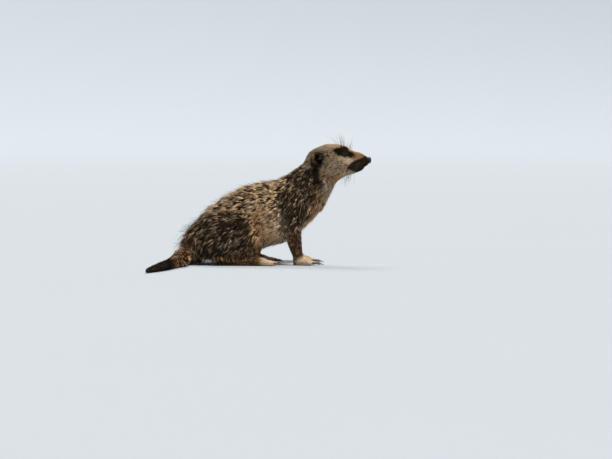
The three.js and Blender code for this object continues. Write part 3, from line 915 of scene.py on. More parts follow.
def markings(hide, part, rng):
    """The coat's markings, from 0 to 1, for each vertex; painted shade, a painted shadow and a painted
    highlight are among them.
    """
    spots = on_animal(hide.co)
    ahead, _, high = spots.T
    normals = hide.normals()
    ragged = hide.mottle(rng, 10)
    stems = np.array([stem(name) for name in FLESH])[part]

    def patch(centre, radii, edge=0.25, wander=0.06):
        """1 inside an oval with a soft and ragged edge."""
        far = np.sqrt(np.sum(((spots - centre) / radii) ** 2, 1)) + wander * ragged
        return rise(far, 1 + edge, 1 - edge)

    def on(*names):
        """1 on these parts."""
        return hide.spread(np.isin(stems, names).astype(float), 10)

    def most(*layers):
        return np.max(np.stack([np.broadcast_to(layer, len(ahead)) for layer in layers]), 0)

    face = np.isin(stems, ["head"]).astype(float)
    # heights of the dark muzzle's upper and lower edge; its dark is partly the muzzle's own colour and partly
    # painted shade on the lips and chin
    rim = 122.4 + 0.4 * np.maximum(ahead - 108, 0) - 1.1 * np.maximum(108 - ahead, 0)
    sill = np.maximum(114.5 - 0.5 * (ahead - 106), 111.2)
    muzzle = rise(high - rim + 0.3 * ragged, 1.5, -1.5) * rise(high - sill + 0.2 * ragged, -1.4, 1.4)
    muzzle = muzzle * rise(ahead + 0.4 * ragged, 101.5, 105.5)
    round_eye = on_animal(np.array([EYE_CENTRES["left"]]))[0]
    dark = face * most(
        patch(round_eye, (8.0, 8.0, 7.0), 0.15, 0.03),  # round the eye
        patch((97.6, 15, 134.9), (11.8, 8, 6.0), 0.2),  # and behind it
        patch((101.5, 11, 137.5), (6.5, 8, 4.0), 0.3),  # over it
        patch((105.8, 10, 131.4), (6.6, 7, 3.6), 0.4),  # and towards the muzzle
        muzzle * 0.95,
        rise(ahead, 119.5, 124.5) * rise(high, 135, 130) * 0.95,
        rise(mouth_distance(spots), 1.6, 0.6) * rise(ahead, 102, 105) * 0.95,
        patch((67.8, 20, 127.8), (10.0, 10, 10.5), 0.25, 0.04),  # round the ear
    )
    tail_black = rise(hide.co[:, 1] / MM, -20, -48) * on("tail_middle", "tail_tip", "tail_base")
    # painted shadow: a dark strip below the ear, down the side of the neck behind the cheek
    painted_shadow_below_ear = patch((67.0, 21, 111), (6.0, 12, 15.0), 0.4) * 0.95
    # painted shade: the shank and heel painted darker behind the foot
    painted_heel_shade = on("shank", "hindfoot") * rise(ahead, 2, -14) * 0.3
    dark = most(dark, painted_shadow_below_ear, painted_heel_shade, on("ear"), tail_black * 0.97)
    pale = face * most(
        patch((90, 22, 118), (14, 14, 10), 0.5) * 0.15,  # cheek
        patch((82, 8, 142), (19, 15, 7.5), 0.5) * 0.6,  # crown
        patch((96.0, 17, 126.6), (5.0, 8, 2.4), 0.4) * 0.85,  # under the eye
        patch((104.0, 14, 123.6), (5.6, 9, 3.4), 0.3),  # behind the muzzle
        patch((106, 4, 109), (12, 12, 5), 0.45) * 0.4,  # chin
        patch((61, 19, 135.5), (7.0, 9, 3.0), 0.4) * 0.85,  # over the ear: a painted highlight, the light on the ear's upper rim
        patch((93, 10, 141), (9, 6, 3.0), 0.5) * 0.4,  # brow
    )
    toes = on("hindfoot", "forefoot")
    pale = most(
        pale,
        patch((80, 6, 94), (12, 12, 12), 0.6) * 0.35,  # throat
        toes * 0.9 * rise(ahead, -7, 6) * (ahead < 30),
        toes * rise(ahead, 38, 47) * 0.9,
        on("trunk") * rise(normals[:, 2], -0.55, -0.9) * 0.3,  # belly
        patch((19, 40, 48), (11, 20, 19), 0.7) * 0.4,  # flank, behind the elbow
    )
    pale = pale * (1 - dark)
    rufous = most(
        patch((8, 38, 46), (22, 20, 26), 0.5) * 0.75,  # flank
        patch((-90, 20, 44), (12, 26, 26), 0.5) * 0.75,  # the rump's end
        on("tail_base") * 0.7,
        on("tail_middle") * 0.4,
        face * patch((110, 3, 131), (13, 8, 5.5), 0.5) * 0.8,  # top of the muzzle
        face * patch((84, 0, 142), (22, 22, 9), 0.6) * 0.45,  # crown
        face * patch((90, 8, 104), (24, 16, 8), 0.5) * 0.8,  # jaw
        on("shank", "hindfoot") * 0.7 * rise(ahead, 8, -6),
        on("forearm") * 0.5,
        patch((72, 8, 72), (16, 16, 34), 0.5) * 0.6,  # chest
    )
    # painted shade: neck, shoulders, arms, thighs, lower rump, tail root, lower flank, shank and heel are
    # painted darker where they lie in shadow
    painted_shade_and_dark_flecks = most(
        on("neck"),
        on("upper_arm"),
        on("forearm"),
        patch((46, 26, 84), (18, 22, 36), 0.6) * 0.95,  # shoulder, painted shade
        on("thigh") * (0.75 + 0.25 * rise(high, 46, 22)) * rise(ahead, 0, -18),
        on("trunk") * rise(high, 66, 40) * rise(ahead, -20, -60) * 0.85,
        on("tail_base") * 0.8,
        on("tail_middle") * 0.75,
        on("trunk") * patch((10, 30, 21), (30, 26, 12), 0.6) * 0.6,  # lower flank, painted shade
        on("shank") * 0.9,
        on("hindfoot") * rise(ahead, 8, -8),
    )
    # the chest and the face get less of the painted shade
    painted_shade_and_dark_flecks = painted_shade_and_dark_flecks * (1 - 0.45 * patch((74, 6, 66), (18, 15, 30), 0.5)) * (1 - 0.8 * face)
    # on the crown this mark is not shade: it makes a few locks darker, as dark flecks
    painted_shade_and_dark_flecks = most(painted_shade_and_dark_flecks, face * patch((74, 12, 136), (20, 18, 13), 0.5) * 0.12)
    # bars across the back, leaning forwards as they go down, and wavering
    line = 0.93 * ahead + 0.37 * high + 2.4 * hide.mottle(rng, 40)
    bars = np.sin(2 * np.pi * line / BAR_SPACING) * 0.5 + 0.5
    bar = bars * rise(normals[:, 2], -0.25, 0.35) * on("trunk", "thigh") * rise(ahead, 42, 22)
    return {"dark": dark, "pale": pale, "rufous": rufous, "painted_shade_and_dark_flecks": painted_shade_and_dark_flecks, "bar": bar}


def in_toes(ahead):
    """The places ahead where the toes of the fore and hind feet lie."""
    return ((ahead > 3) & (ahead < 21)) | ((ahead > 48) & (ahead < 67))


BALD_ROUND_EYE = 5.5 * MM  # no hair grows this near the middle of an eye


def build_skin():
    """The parts melted into one skin, smoothed, drawn in by the coat's depth, and carved."""
    body = bpy.context.scene.meerkat_body
    skin = melted_flesh(body.voxel)
    hide = Hide(*read_mesh(skin.data))
    part = nearest_part(hide.co)
    stems = np.array([stem(name) for name in FLESH])[part]
    feet = np.isin(stems, ["hindfoot", "forefoot"])
    # the feet keep their toes, so they are smoothed far less than the body
    fine = np.clip(1.4 * hide.spread(feet.astype(float), 6), 0, 1)
    hide.round_off(5)
    hide.round_off(body.rounding, 1 - 0.93 * fine)
    # the coat stands on the skin, so the skin lies as far inside the parts as the coat is deep
    depth, _, _ = groom(hide, part)
    depth *= np.where(feet, rise(hide.co[:, 2] / MM, 0.4, 3.0), 1.0)
    depth += hide.spread(np.array([GROWTH.get(name, LEAST_GROWTH) for name in stems]), 30) * MM
    inwards = -unit(hide.spread(hide.normals(), 30))
    hide.co = hide.co + inwards * depth[:, None]
    hide.round_off(12, 1 - fine)
    move_corners(skin.data, hide.co)
    refine(skin, lambda ahead, out, high: ((ahead > 88) & (high > 100)) | ((high < 11) & in_toes(ahead)))
    hide = Hide(*read_mesh(skin.data))
    carve_face(hide)
    carve_feet(hide)
    hide.co[:, 2] = np.maximum(hide.co[:, 2], 0)
    move_corners(skin.data, hide.co)
    patches = []
    for side in SIDES:
        for name, ((co, tris), bald) in (("lid_" + side, lid(side)), ("pinna_" + side, ear(side))):
            patches.append(new_piece(name, co, tris, {"bald": bald}))
    bald = np.zeros(len(skin.data.vertices))
    co, _ = read_mesh(skin.data)
    for side in SIDES:
        bald[np.linalg.norm(co - np.array(EYE_CENTRES[side]), axis=1) < BALD_ROUND_EYE] = 1.0
    write_values(skin.data, "bald", bald)
    pick(*patches, skin)
    bpy.ops.object.join()
    return skin


def lay_coat_plan(skin):
    """Stores on the skin what its coat is grown from: part, depth, length, lie and markings, painted shade
    among them.
    """
    rng = np.random.default_rng(11)
    hide = Hide(*read_mesh(skin.data))
    part = nearest_part(hide.co)
    depth, length, lie = groom(hide, part)
    normals = hide.normals()
    swirl = hide.mottle(rng, 45) * math.radians(9)
    lie = along_tangent(lie, normals)
    lie = lie * np.cos(swirl)[:, None] + np.cross(normals, lie) * np.sin(swirl)[:, None]
    values = {"part": part.astype(float), "depth": depth, "length": length, "lie": lie}
    values.update(markings(hide, part, rng))
    for name, array in values.items():
        write_values(skin.data, name, array)
    skin.data.shade_smooth()


# ---- coat -------------------------------------------------------------------------------------
class Pelt:
    """The skin as the coat reads it: places and values at points on its triangles."""

    NAMES = ("part", "depth", "length", "lie", "bald", *MARKS)

    def __init__(self):
        skin = bpy.data.objects["skin"]
        co, tris = read_mesh(skin.data)
        self.hide = Hide(co, tris)
        self.co, self.tris = co, tris
        self.normals = self.hide.normals()
        self.values = {name: read_values(skin.data, name) for name in self.NAMES}
        a, b, c = (co[tris[:, k]] for k in range(3))
        self.areas = np.linalg.norm(np.cross(b - a, c - a), axis=1) / 2
        self.tree = BVHTree.FromPolygons(co.tolist(), tris.tolist())
        self.part = np.rint(self.values["part"])[tris[:, 0]].astype(int)

    def at(self, array, faces, shares):
        corners = array[self.tris[faces]]
        if corners.ndim == 2:
            return np.sum(corners * shares, 1)
        return np.sum(corners * shares[..., None], 1)

    def step(self, places, lie, distance):
        """Slides places over the skin along the lie of the hair; gives the new places, normals and lie."""
        faces, found = [], []
        for p in (places + lie * distance[:, None]).tolist():
            spot, _, face, _ = self.tree.find_nearest(p)
            found.append(spot)
            faces.append(face)
        corners = self.tris[faces]
        normals = unit(self.normals[corners].mean(1))
        onward = along_tangent(0.5 * lie + 0.5 * self.values["lie"][corners].mean(1), normals)
        return np.array(found), normals, onward


def spacing_of(length):
    """Distance between locks for a coat of that length."""
    coat = bpy.context.scene.meerkat_coat
    return 0.2 * MM + coat.lock_spacing * length


CELL_STEP = 1.15  # each size of cell against the one below it


def scatter(pelt, faces, rng, close):
    """Evenly spread roots on these triangles: triangle and shares of its corners for each."""
    thick = bpy.context.scene.meerkat_coat.fullness * close
    length = pelt.values["length"][pelt.tris[faces]].mean(1)
    growing = 1 - pelt.values["bald"][pelt.tris[faces]].max(1)
    wanted = pelt.areas[faces] * growing / spacing_of(length) ** 2 * thick
    count = int(4 * wanted.sum())
    chosen = faces[rng.choice(len(faces), count, p=wanted / wanted.sum())]
    shares = rng.dirichlet((1, 1, 1), count)
    places = pelt.at(pelt.co, chosen, shares)
    cell = spacing_of(pelt.at(pelt.values["length"], chosen, shares)) / math.sqrt(thick)
    band = np.rint(np.log(cell / MM) / math.log(CELL_STEP)).astype(int)
    first = one_each(places, CELL_STEP**band * MM, band)
    return chosen[first], shares[first]


def one_each(places, cell, band=0):
    """Numbers of the places kept when each little cube of space keeps only one."""
    keys = np.floor(places / np.reshape(cell, (-1, 1))).astype(int) @ [1, 4096, 4096**2] + band * 4096**3
    return np.unique(keys, return_index=True)[1]


def clumps(places, rng):
    """For each place, the number of the place that it draws together with: the nearest of a random few."""
    leaders = rng.choice(len(places), len(places) // CLUMP + 1, replace=False)
    tree = KDTree(len(leaders))
    for k, leader in enumerate(leaders):
        tree.insert(places[leader], k)
    tree.balance()
    return leaders[[tree.find(p)[1] for p in places.tolist()]]


STRETCHES = 12  # of a part's length, each unwrapped around its own middle


def unwrap(places, ahead_axis):
    """Spreads places around an axis onto the unit square: along the axis and around it."""
    centre = places.mean(0)
    axis = unit(np.array(ahead_axis, float))
    side = unit(np.cross(axis, [0.0, 0.3, 1.0]))
    other = np.cross(axis, side)
    off = places - centre
    along = off @ axis
    share = (along - along.min()) / (np.ptp(along) + 1e-9)
    bins = np.clip((share * STRETCHES).astype(int), 0, STRETCHES - 1)
    count = np.maximum(np.bincount(bins, minlength=STRETCHES), 1)
    middles = [np.bincount(bins, off @ way, STRETCHES) / count for way in (side, other)]
    steps = (np.arange(STRETCHES) + 0.5) / STRETCHES * np.ptp(along) + along.min()
    full = count > 3
    x, y = (off @ way - np.interp(along, steps[full], mid[full]) for way, mid in zip((side, other), middles))
    around = np.arctan2(y, x) / (2 * np.pi) + 0.5
    return np.stack([share, around], 1) * 0.98 + 0.01


PATCH = 0.003  # width of one lock's place on the unwrap
CLUMP = 3  # locks in a clump
LOFT = (-62, -88)  # between these places ahead the coat stands out more and more, to the rump's end
HANGING = 7.5 * MM  # how much further the hair under the rump hangs
# A strand's triangles: three corners at the root, three more halfway if it is bent, and the tip.
STRAIGHT = [(0, 2, 1), (0, 1, 3), (1, 2, 3), (2, 0, 3)]
BENT = [(0, 2, 1)]
for j, k in ((0, 1), (1, 2), (2, 0)):
    BENT += [(j, k, k + 3), (j, k + 3, j + 3), (j + 3, k + 3, 6)]


def lock_sizes(spots, length, depth, over_skirt, rng, cut):
    """How long the locks are and how high their tips stand, with the loft and skirt of the rump."""
    ahead, _, high = spots.T
    loft = rise(ahead, *LOFT) * rise(high, 12, 22)
    long = length * rng.uniform(0.72, 1.2, len(spots)) * cut["reach"] * (1 - 0.25 * loft)
    tall = depth * rng.uniform(0.55, 1.08, len(spots)) * cut["lift"] * (1 + cut["loft"] * loft)
    tall[rng.random(len(spots)) < 0.04] *= 1.35
    skirt = rise(ahead, -44, -56) * rise(ahead, -99, -86) * rise(high, 17, 10)
    return long, tall + skirt * HANGING * over_skirt


def strand_points(levels, strands, spread, long, high, half_width, rng):
    """Points of every strand, from its root to its tip, and how far along the hair each one is."""
    count = len(long)
    across, forward = rng.uniform(-1, 1, (2, count, strands))
    reach = rng.uniform(0.82, 1.08, (count, strands))
    rings, alongs = [], []
    for where, up, ahead, along, height, gather, thick in levels:
        sideways = np.cross(up, ahead)
        centre = (where + up * np.broadcast_to(height, count)[:, None])[:, None, :]
        centre = centre + sideways[:, None, :] * (across * gather * spread[:, None])[..., None]
        pull = (forward * gather * spread[:, None]) + along * (reach - 1) * long[:, None]
        centre = centre + ahead[:, None, :] * pull[..., None]
        uneven = rng.normal(0, 0.10, (count, strands)) * along * high[:, None]
        centre = centre + up[:, None, :] * uneven[..., None]
        corners = [centre]
        if thick > 0:
            corners = []
            for turn in np.radians((-150, -30, 90)):
                offset = math.cos(turn) * sideways + 0.6 * math.sin(turn) * up
                corners.append(centre + (offset * (thick * half_width)[:, None])[:, None, :])
        rings += corners
        alongs += [along] * len(corners)
    return np.stack(rings, 2), np.array(alongs)


def grow_locks(pelt, name, faces, rng, cut, axis):
    """One piece of the coat: locks of closed three-sided strands that start together and draw to a tip."""
    strands, tight = cut["strands"], cut["tight"]
    chosen, shares = scatter(pelt, faces, rng, cut["close"])
    count = len(chosen)
    root = pelt.at(pelt.co, chosen, shares)
    normal = unit(pelt.at(pelt.normals, chosen, shares))
    lie, length, depth = (pelt.at(pelt.values[key], chosen, shares) for key in ("lie", "length", "depth"))
    marks = {mark: pelt.at(pelt.values[mark], chosen, shares) for mark in MARKS}
    lie = along_tangent(lie, normal)
    turned = rng.normal(0, math.radians(cut["stray"]), count)
    lie = lie * np.cos(turned)[:, None] + np.cross(normal, lie) * np.sin(turned)[:, None]
    over_skirt = pelt.part[chosen] != FLESH.index("tail_base")
    long, high = lock_sizes(root / MM, length, depth, over_skirt, rng, cut)
    middle, middle_normal, middle_lie = pelt.step(root, lie, long * 0.5)
    tip, tip_normal, tip_lie = pelt.step(middle, middle_lie, long * 0.5)
    if strands > 1:
        leader = clumps(root, rng)
        tip = tip + (tip[leader] - tip) * cut["clump"]
        middle = middle + (middle[leader] - middle) * cut["clump"] * 0.35
        high = high + (high[leader] - high) * 0.5
    tone = rng.random(count)
    if strands > 1:
        # locks in painted shade are less patchy
        tone = tone + cut["patchy"] * (1 - 0.75 * marks["painted_shade_and_dark_flecks"]) * (tone[leader] - tone)
    hue = 0.5 + 1.05 * (tone[:, None] - 0.5) + 0.5 * (rng.random((count, strands)) - 0.5)

    # place, normal, lie, share of the hair's length, height, share of the spread and of the width
    levels = [(root, normal, lie, 0.0, -0.25 * MM, 1.0, 1.0)]
    if cut["bent"]:
        levels.append((middle, middle_normal, middle_lie, 0.5, 0.60 * high, 0.62 + 0.38 * tight, 0.92))
    levels.append((tip, tip_normal, tip_lie, 1.0, high, tight, 0.0))
    hair_width = bpy.context.scene.meerkat_coat.hair_width * cut["width"]
    half_width = 0.5 * hair_width * np.clip(length / (9 * MM), 0.28, 1.25)
    spread = spacing_of(length) * 0.5
    co, along = strand_points(levels, strands, spread, long, high, half_width, rng)
    per, total = len(along), count * strands
    co = co.reshape(-1, 3)
    co[:, 2] = np.maximum(co[:, 2], 0.12 * MM)
    pattern = np.array(BENT if cut["bent"] else STRAIGHT)
    tris = (np.arange(total)[:, None, None] * per + pattern).reshape(-1, 3)
    along = np.tile(along, total)
    values = {key: np.repeat(array, strands * per) for key, array in marks.items()}
    values["along"] = along
    values["hue"] = np.repeat(np.clip(hue, 0, 1).ravel(), per)
    # in a lock's place on the unwrap each strand has a column, with its root below and its tip above
    slant = np.tile(([-0.5, 0.0, 0.5] * 2)[: per - 1] + [0.0], total)
    column = np.tile(np.repeat(np.arange(strands) + 0.5, per), count)
    inside = np.stack([(column + slant) / strands - 0.5, along - 0.5], 1)
    uv = np.repeat(unwrap(root, axis), strands * per, 0) + PATCH * inside
    return new_piece(name, co, tris, values, uv)


def length_axis(piece):
    """The way this piece of the coat is longest."""
    if "tail" in piece:
        return (0.2, 1, 0)
    if "arm" in piece:
        return (0, 0, 1)
    return (1, 0, 0)


def faces_of(pelt, *names):
    """Numbers of the skin's triangles on these parts."""
    numbers = [FLESH.index(name) for name in names]
    return np.flatnonzero(np.isin(pelt.part, numbers))


# ---- small solid pieces -----------------------------------------------------------------------
CORNEA = 0.35 * MM  # how far it bulges from the eyeball


def build_eye(side):
    """An eyeball with a bulging cornea; the iris and pupil are painted by the angle from its gaze."""
    centre = EYE_CENTRES[side]
    gaze, along, across = eye_axes(side)
    pick_none()
    turn = Vector(gaze).to_track_quat("Z", "Y").to_euler()
    bpy.ops.mesh.primitive_uv_sphere_add(
        segments=48, ring_count=32, radius=EYE_RADIUS, location=centre, rotation=turn
    )
    ball = bpy.context.object
    ball.name = ball.data.name = "eyeball_" + side
    bpy.ops.object.transform_apply(location=True, rotation=True, scale=True)
    co, _ = read_mesh(ball.data)
    off = co - np.array(centre)
    bulge = rise(off @ gaze / EYE_RADIUS, 0.70, 1.0)
    co = co + gaze * (CORNEA * bulge)[:, None]
    move_corners(ball.data, co)
    write_values(ball.data, "eye_along", off @ along / EYE_RADIUS)
    write_values(ball.data, "eye_across", off @ across / EYE_RADIUS)
    ball.data.shade_smooth()
    return ball


NOSE_SPREAD = (1.0, 1.16, 1.16)  # the leather against its carved box, ahead, across and high
NOSE_SHIFT = (-0.2 * MM, 0, 0.9 * MM)


def build_nose():
    """The nose leather: a rounded pad with two comma-shaped nostrils and a groove down its middle."""
    low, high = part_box("nose")
    pick_none()
    bpy.ops.mesh.primitive_uv_sphere_add(segments=72, ring_count=48, radius=1.0, location=(0, 0, 0))
    pad = bpy.context.object
    pad.name = pad.data.name = "nose_pad"
    co, _ = read_mesh(pad.data)
    x, y, z = co.T
    out = np.abs(y)
    # on a ball of radius 1: a round nostril, the slit that runs out from it, and the groove
    nostril = np.exp(-(((out - 0.52) / 0.17) ** 2 + ((z + 0.02) / 0.20) ** 2)) * (x > 0)
    slit = np.exp(-(((out - 0.80) / 0.16) ** 2 + ((z + 0.16) / 0.12) ** 2)) * (x > -0.3)
    groove = np.exp(-((y / 0.07) ** 2)) * rise(z, 0.15, -0.35) * (x > 0)
    shrink = 1 - 0.42 * nostril - 0.22 * slit - 0.12 * groove
    flat_front = 1 - 0.14 * rise(x, 0.5, 1.0)
    narrow_foot = 1 - 0.10 * rise(z, 0.2, -1.0)
    co = co * shrink[:, None] * np.stack([flat_front, narrow_foot, np.ones(len(x))], 1)
    half = np.array(high - low) / 2
    co = co * half * NOSE_SPREAD + np.array(high + low) / 2 + NOSE_SHIFT
    move_corners(pad.data, co)
    pad.data.shade_smooth()
    return pad


CLAW_STEPS = 9  # rings from root to point
CLAW_THICK = 1.15 * MM  # radius at the root
CLAW_FLAT = 0.72  # its width against its height
CLAW_ARCH = 0.9 * MM  # how high its back stands over the straight line from root to point
CLAW_POINT = 0.10  # size of its last ring against its first


def build_claw(node):
    """A curved horn claw, drawn out ring by ring from its root to its point."""
    co, _ = read_mesh(frame["nodes"][node].data)
    low, high = co.min(0), co.max(0)
    long = high[0] - low[0]
    root = co[co[:, 0] < low[0] + 0.25 * long].mean(0)
    tip = co[co[:, 0].argmax()]
    start = np.array([low[0] - 0.8 * MM, root[1], root[2]])
    pick_none()
    bpy.ops.mesh.primitive_circle_add(
        vertices=12, radius=CLAW_THICK, fill_type="NGON", location=start, rotation=(0, math.pi / 2, 0)
    )
    claw = bpy.context.object
    claw.name = claw.data.name = node.replace("claw", "nail")
    bpy.ops.object.transform_apply(location=True, rotation=True, scale=True)
    bpy.ops.object.mode_set(mode="EDIT")
    bpy.ops.mesh.select_all(action="SELECT")
    bpy.ops.transform.resize(value=(1, CLAW_FLAT, 1), center_override=start)
    previous, size = start, 1.0
    for k in range(1, CLAW_STEPS + 1):
        t = k / CLAW_STEPS
        arch = CLAW_ARCH * math.sin(math.pi * min(1, t * 1.15)) * (1 - 0.3 * t)
        centre = start + (tip - start) * t + np.array([0, 0, arch])
        centre[2] = max(centre[2], 0.25 * MM)
        wanted = max(CLAW_POINT, (1 - t**1.7) ** 0.8)
        bpy.ops.mesh.extrude_region_move(TRANSFORM_OT_translate={"value": tuple(centre - previous)})
        bpy.ops.transform.resize(value=(wanted / size,) * 3, center_override=centre)
        previous, size = centre, wanted
    bpy.ops.mesh.select_all(action="SELECT")
    bpy.ops.mesh.normals_make_consistent(inside=False)
    bpy.ops.object.mode_set(mode="OBJECT")
    apply_modifier(claw, "SUBSURF", levels=1, render_levels=1)
    made, _ = read_mesh(claw.data)
    made[:, 2] = np.maximum(made[:, 2], 0.0)
    move_corners(claw.data, made)
    write_values(claw.data, "along", np.clip((made[:, 0] - start[0]) / (tip[0] - start[0]), 0, 1))
    claw.data.shade_smooth()
    return claw


# Groups of whiskers: where they grow, how far apart, how many on each side, their length in mm,
# the way they point as (ahead, out, high), and how far they stray from it.
WHISKERS = [
    ((98, 9, 142), (4.0, 1.8, 1.2), 8, (14, 22), (-0.02, 0.12, 1.0), 0.36),
    ((106, 7, 138), (2.2, 1.5, 1.0), 5, (8, 14), (0.35, 0.2, 1.0), 0.3),
    ((117, 8, 121), (4.0, 0.8, 2.2), 16, (14, 26), (-0.25, 1.0, -0.15), 0.22),
    ((105, 3, 108), (3.0, 2.0, 1.0), 9, (10, 17), (-0.1, 0.15, -1.0), 0.25),
    ((86, 22, 112), (2.0, 0.8, 2.0), 3, (9, 13), (-0.6, 0.8, -0.4), 0.22),
]


WHISKER_RINGS, WHISKER_SIDES = 7, 4
WHISKER_THICK = 0.15 * MM  # radius at the root; a fifth of it is left at the tip
WHISKER_CEILING = CAD_BOX[1][2] + 13.0 * MM  # whiskers bend over below this height


def whisker(root, ahead, sag, long):
    """Places of one whisker, ring by ring."""
    t = np.linspace(0, 1, WHISKER_RINGS)[:, None]
    line = root - ahead * 0.6 * MM + ahead * long * t + sag * long * 0.22 * t**2
    high = line[:, 2]
    bent = WHISKER_CEILING - 2 * MM + 2 * MM * np.tanh((high - WHISKER_CEILING) / MM)
    line[:, 2] = np.minimum(high, bent)
    first = unit(np.cross(ahead, [0.3, 0.2, 1.0]))
    second = np.cross(ahead, first)
    turns = 2 * np.pi * np.arange(WHISKER_SIDES)[:, None] / WHISKER_SIDES
    around = np.cos(turns) * first + np.sin(turns) * second
    thick = WHISKER_THICK * (1 - 0.8 * t)
    return (line[:, None, :] + thick[:, None, :] * around).reshape(-1, 3)


def build_whiskers(pelt):
    """Stiff hairs of the brow, muzzle, chin and cheek: thin tapers that bend a little."""
    rng = np.random.default_rng(31)
    made = []
    for where, scatter_by, number, lengths, way, stray in WHISKERS:
        for side in np.repeat(list(SIDES.values()), number):
            spot = place(*(np.array(where) + rng.normal(0, 1, 3) * scatter_by), side)
            root = np.array(pelt.tree.find_nearest(spot.tolist())[0])
            ahead = unit(np.array([way[0], side * way[1], way[2]]) + rng.normal(0, stray, 3))
            sag = unit(np.array([-0.4, 0, -0.2]) + rng.normal(0, 0.4, 3))
            made.append(whisker(root, ahead, sag, rng.uniform(*lengths) * MM))
    first_corners = np.arange(len(made))[:, None, None] * WHISKER_RINGS * WHISKER_SIDES
    tris = (first_corners + grid_triangles(WHISKER_RINGS, WHISKER_SIDES)).reshape(-1, 3)
    along = np.tile(np.repeat(np.linspace(0, 1, WHISKER_RINGS), WHISKER_SIDES), len(made))
    return new_piece("whiskers", np.concatenate(made), tris, {"along": along})


# ---- operators --------------------------------------------------------------------------------
FLOOR_SIDES = 96
FLOOR_REACH = 4.5  # m that the floor runs level before it curves up
FLOOR_CURVE = 1.6  # m, radius of that curve
SKYLIGHT = (0.98, 0.99, 1.0, 1)
SKYLIGHT_STRENGTH = 0.14
SUNLIGHT = (1.0, 0.92, 0.81)
# name, where it stands from the animal, how wide it is in degrees, and its strength
SUNS = (("key", (0.60, -0.50, 1.20), 9, 5.1), ("rim", (-0.2, 0.8, 1.2), 25, 1.4))
SUN_FOCUS = (0.0, MIDDLE, 0.07)
AIM = (52.8 * MM, MIDDLE, 41.4 * MM)  # what the camera looks at
SENSOR_WIDTH = 36  # mm


def build_floor():
    """A wide level floor whose far edge curves up."""
    turn = np.linspace(0, 2 * np.pi, FLOOR_SIDES, endpoint=False)
    profile = [(0.02, 0), (2.0, 0), (FLOOR_REACH, 0)]
    bend = np.radians(np.arange(6, 79, 6))
    profile += list(zip(FLOOR_REACH + FLOOR_CURVE * np.sin(bend), FLOOR_CURVE * (1 - np.cos(bend))))
    rows = [np.stack([r * np.cos(turn), r * np.sin(turn), np.full(FLOOR_SIDES, z)], 1) for r, z in profile]
    tris = np.concatenate([grid_triangles(len(profile), FLOOR_SIDES), cap(FLOOR_SIDES, 0)])[:, ::-1]
    floor = new_piece("floor", np.concatenate(rows), tris)
    floor.data.materials.append(floor_material())
    return floor


def add_sun(name, spot, softness, power):
    bpy.ops.object.light_add(type="SUN", location=Vector(SUN_FOCUS) + Vector(spot) * 2)
    light = bpy.context.object
    light.name = name
    light.data.angle, light.data.energy = math.radians(softness), power
    light.data.color = SUNLIGHT
    light.rotation_euler = Vector(spot).to_track_quat("Z", "Y").to_euler()


def add_camera(stage):
    back = Vector((0, -math.cos(stage.elevation), math.sin(stage.elevation)))
    bpy.ops.object.camera_add(location=Vector(AIM) + back * stage.distance)
    camera = bpy.context.object
    camera.rotation_euler = (-back).to_track_quat("-Z", "Y").to_euler()
    camera.data.sensor_width = SENSOR_WIDTH
    camera.data.lens = SENSOR_WIDTH * stage.distance / stage.view_width
    camera.data.clip_end = 50
    return camera


class MEERKAT_OT_stage(bpy.types.Operator):
    """Add the floor, the soft studio lights and the camera"""

    bl_idname = "meerkat.stage"
    bl_label = "Stage"

    def execute(self, context):
        context.scene.view_settings.view_transform = "Standard"
        floor = build_floor()
        world = bpy.data.worlds.new("studio")
        world.use_nodes = True
        background = world.node_tree.nodes["Background"].inputs
        background["Color"].default_value = SKYLIGHT
        background["Strength"].default_value = SKYLIGHT_STRENGTH
        context.scene.world = world
        for sun in SUNS:
            add_sun(*sun)
        context.scene.camera = add_camera(context.scene.meerkat_stage)
        return {"FINISHED"}


class MEERKAT_OT_skin(bpy.types.Operator):
    """Melt the carved parts into one skin, shape the face and plan the coat"""

    bl_idname = "meerkat.skin"
    bl_label = "Skin"

    def execute(self, context):
        skin = build_skin()
        lay_coat_plan(skin)
        dress(skin, skin_material())
        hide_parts(*FLESH)
        return {"FINISHED"}


class MEERKAT_OT_eyes(bpy.types.Operator):
    """Add the two eyes"""

    bl_idname = "meerkat.eyes"
    bl_label = "Eyes"

    def execute(self, context):
        finish = eye_material()
        for side in SIDES:
            ball = build_eye(side)
            dress(ball, finish)
            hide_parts("eye_" + side)
        return {"FINISHED"}


class MEERKAT_OT_nose(bpy.types.Operator):
    """Add the nose leather"""

    bl_idname = "meerkat.nose"
    bl_label = "Nose"

    def execute(self, context):
        pad = build_nose()
        dress(pad, nose_material())
        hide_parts("nose")
        return {"FINISHED"}


class MEERKAT_OT_claws(bpy.types.Operator):
    """Add the claws of all four feet"""

    bl_idname = "meerkat.claws"
    bl_label = "Claws"

    def execute(self, context):
        finish = claw_material()
        for node in sorted(name for name in frame["nodes"] if "claw" in name):
            claw = build_claw(node)
            dress(claw, finish)
            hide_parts(node)
        return {"FINISHED"}


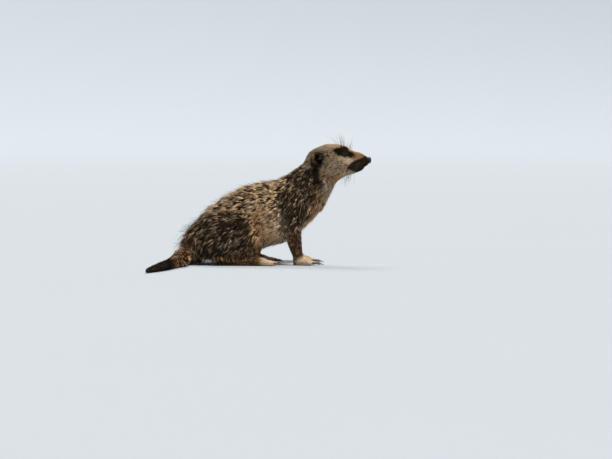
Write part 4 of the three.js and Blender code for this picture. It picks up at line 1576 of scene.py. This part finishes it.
class MEERKAT_OT_coat(bpy.types.Operator):
    """Grow the coat, piece by piece, and the whiskers"""

    bl_idname = "meerkat.coat"
    bl_label = "Coat"

    def execute(self, context):
        pelt = Pelt()
        finish = coat_material()
        for number, (name, (parts, (back, front), cut, slot)) in enumerate(COAT_PIECES.items()):
            rng = np.random.default_rng(100 + number)
            faces = faces_of(pelt, *parts)
            ahead = pelt.co[pelt.tris[faces, 0], 0] / MM
            faces = faces[(ahead >= back) & (ahead < front)]
            piece = grow_locks(pelt, name, faces, rng, CUTS[cut], length_axis(name))
            dress(piece, finish)
        whiskers = build_whiskers(pelt)
        dress(whiskers, whisker_material())
        return {"FINISHED"}


class MEERKAT_PT_panel(bpy.types.Panel):
    """Lists the steps that build the meerkat"""

    bl_idname = "MEERKAT_PT_panel"
    bl_label = "Meerkat"
    bl_space_type = "VIEW_3D"
    bl_region_type = "UI"
    bl_category = "Meerkat"

    def draw(self, context):
        for group in SETTINGS:
            settings = getattr(context.scene, group)
            box = self.layout.box()
            for key in settings.bl_rna.properties.keys():
                if key not in ("rna_type", "name"):
                    box.prop(settings, key)
        for step in STEPS:
            self.layout.operator(step.bl_idname)


SETTINGS = {
    "meerkat_body": BodySettings,
    "meerkat_coat": CoatSettings,
    "meerkat_stage": StageSettings,
}
STEPS = (
    MEERKAT_OT_stage,
    MEERKAT_OT_skin,
    MEERKAT_OT_eyes,
    MEERKAT_OT_nose,
    MEERKAT_OT_claws,
    MEERKAT_OT_coat,
)


def register():
    for one in (*SETTINGS.values(), *STEPS, MEERKAT_PT_panel):
        bpy.utils.register_class(one)
    for name, group in SETTINGS.items():
        setattr(bpy.types.Scene, name, PointerProperty(type=group))


def unregister():
    for name in SETTINGS:
        delattr(bpy.types.Scene, name)
    for one in (MEERKAT_PT_panel, *reversed(STEPS), *reversed(list(SETTINGS.values()))):
        bpy.utils.unregister_class(one)


def main():
    register()
    bpy.ops.meerkat.stage()
    bpy.ops.meerkat.skin()
    bpy.ops.meerkat.eyes()
    bpy.ops.meerkat.nose()
    bpy.ops.meerkat.claws()
    bpy.ops.meerkat.coat()


if __name__ == "__main__":
    main()
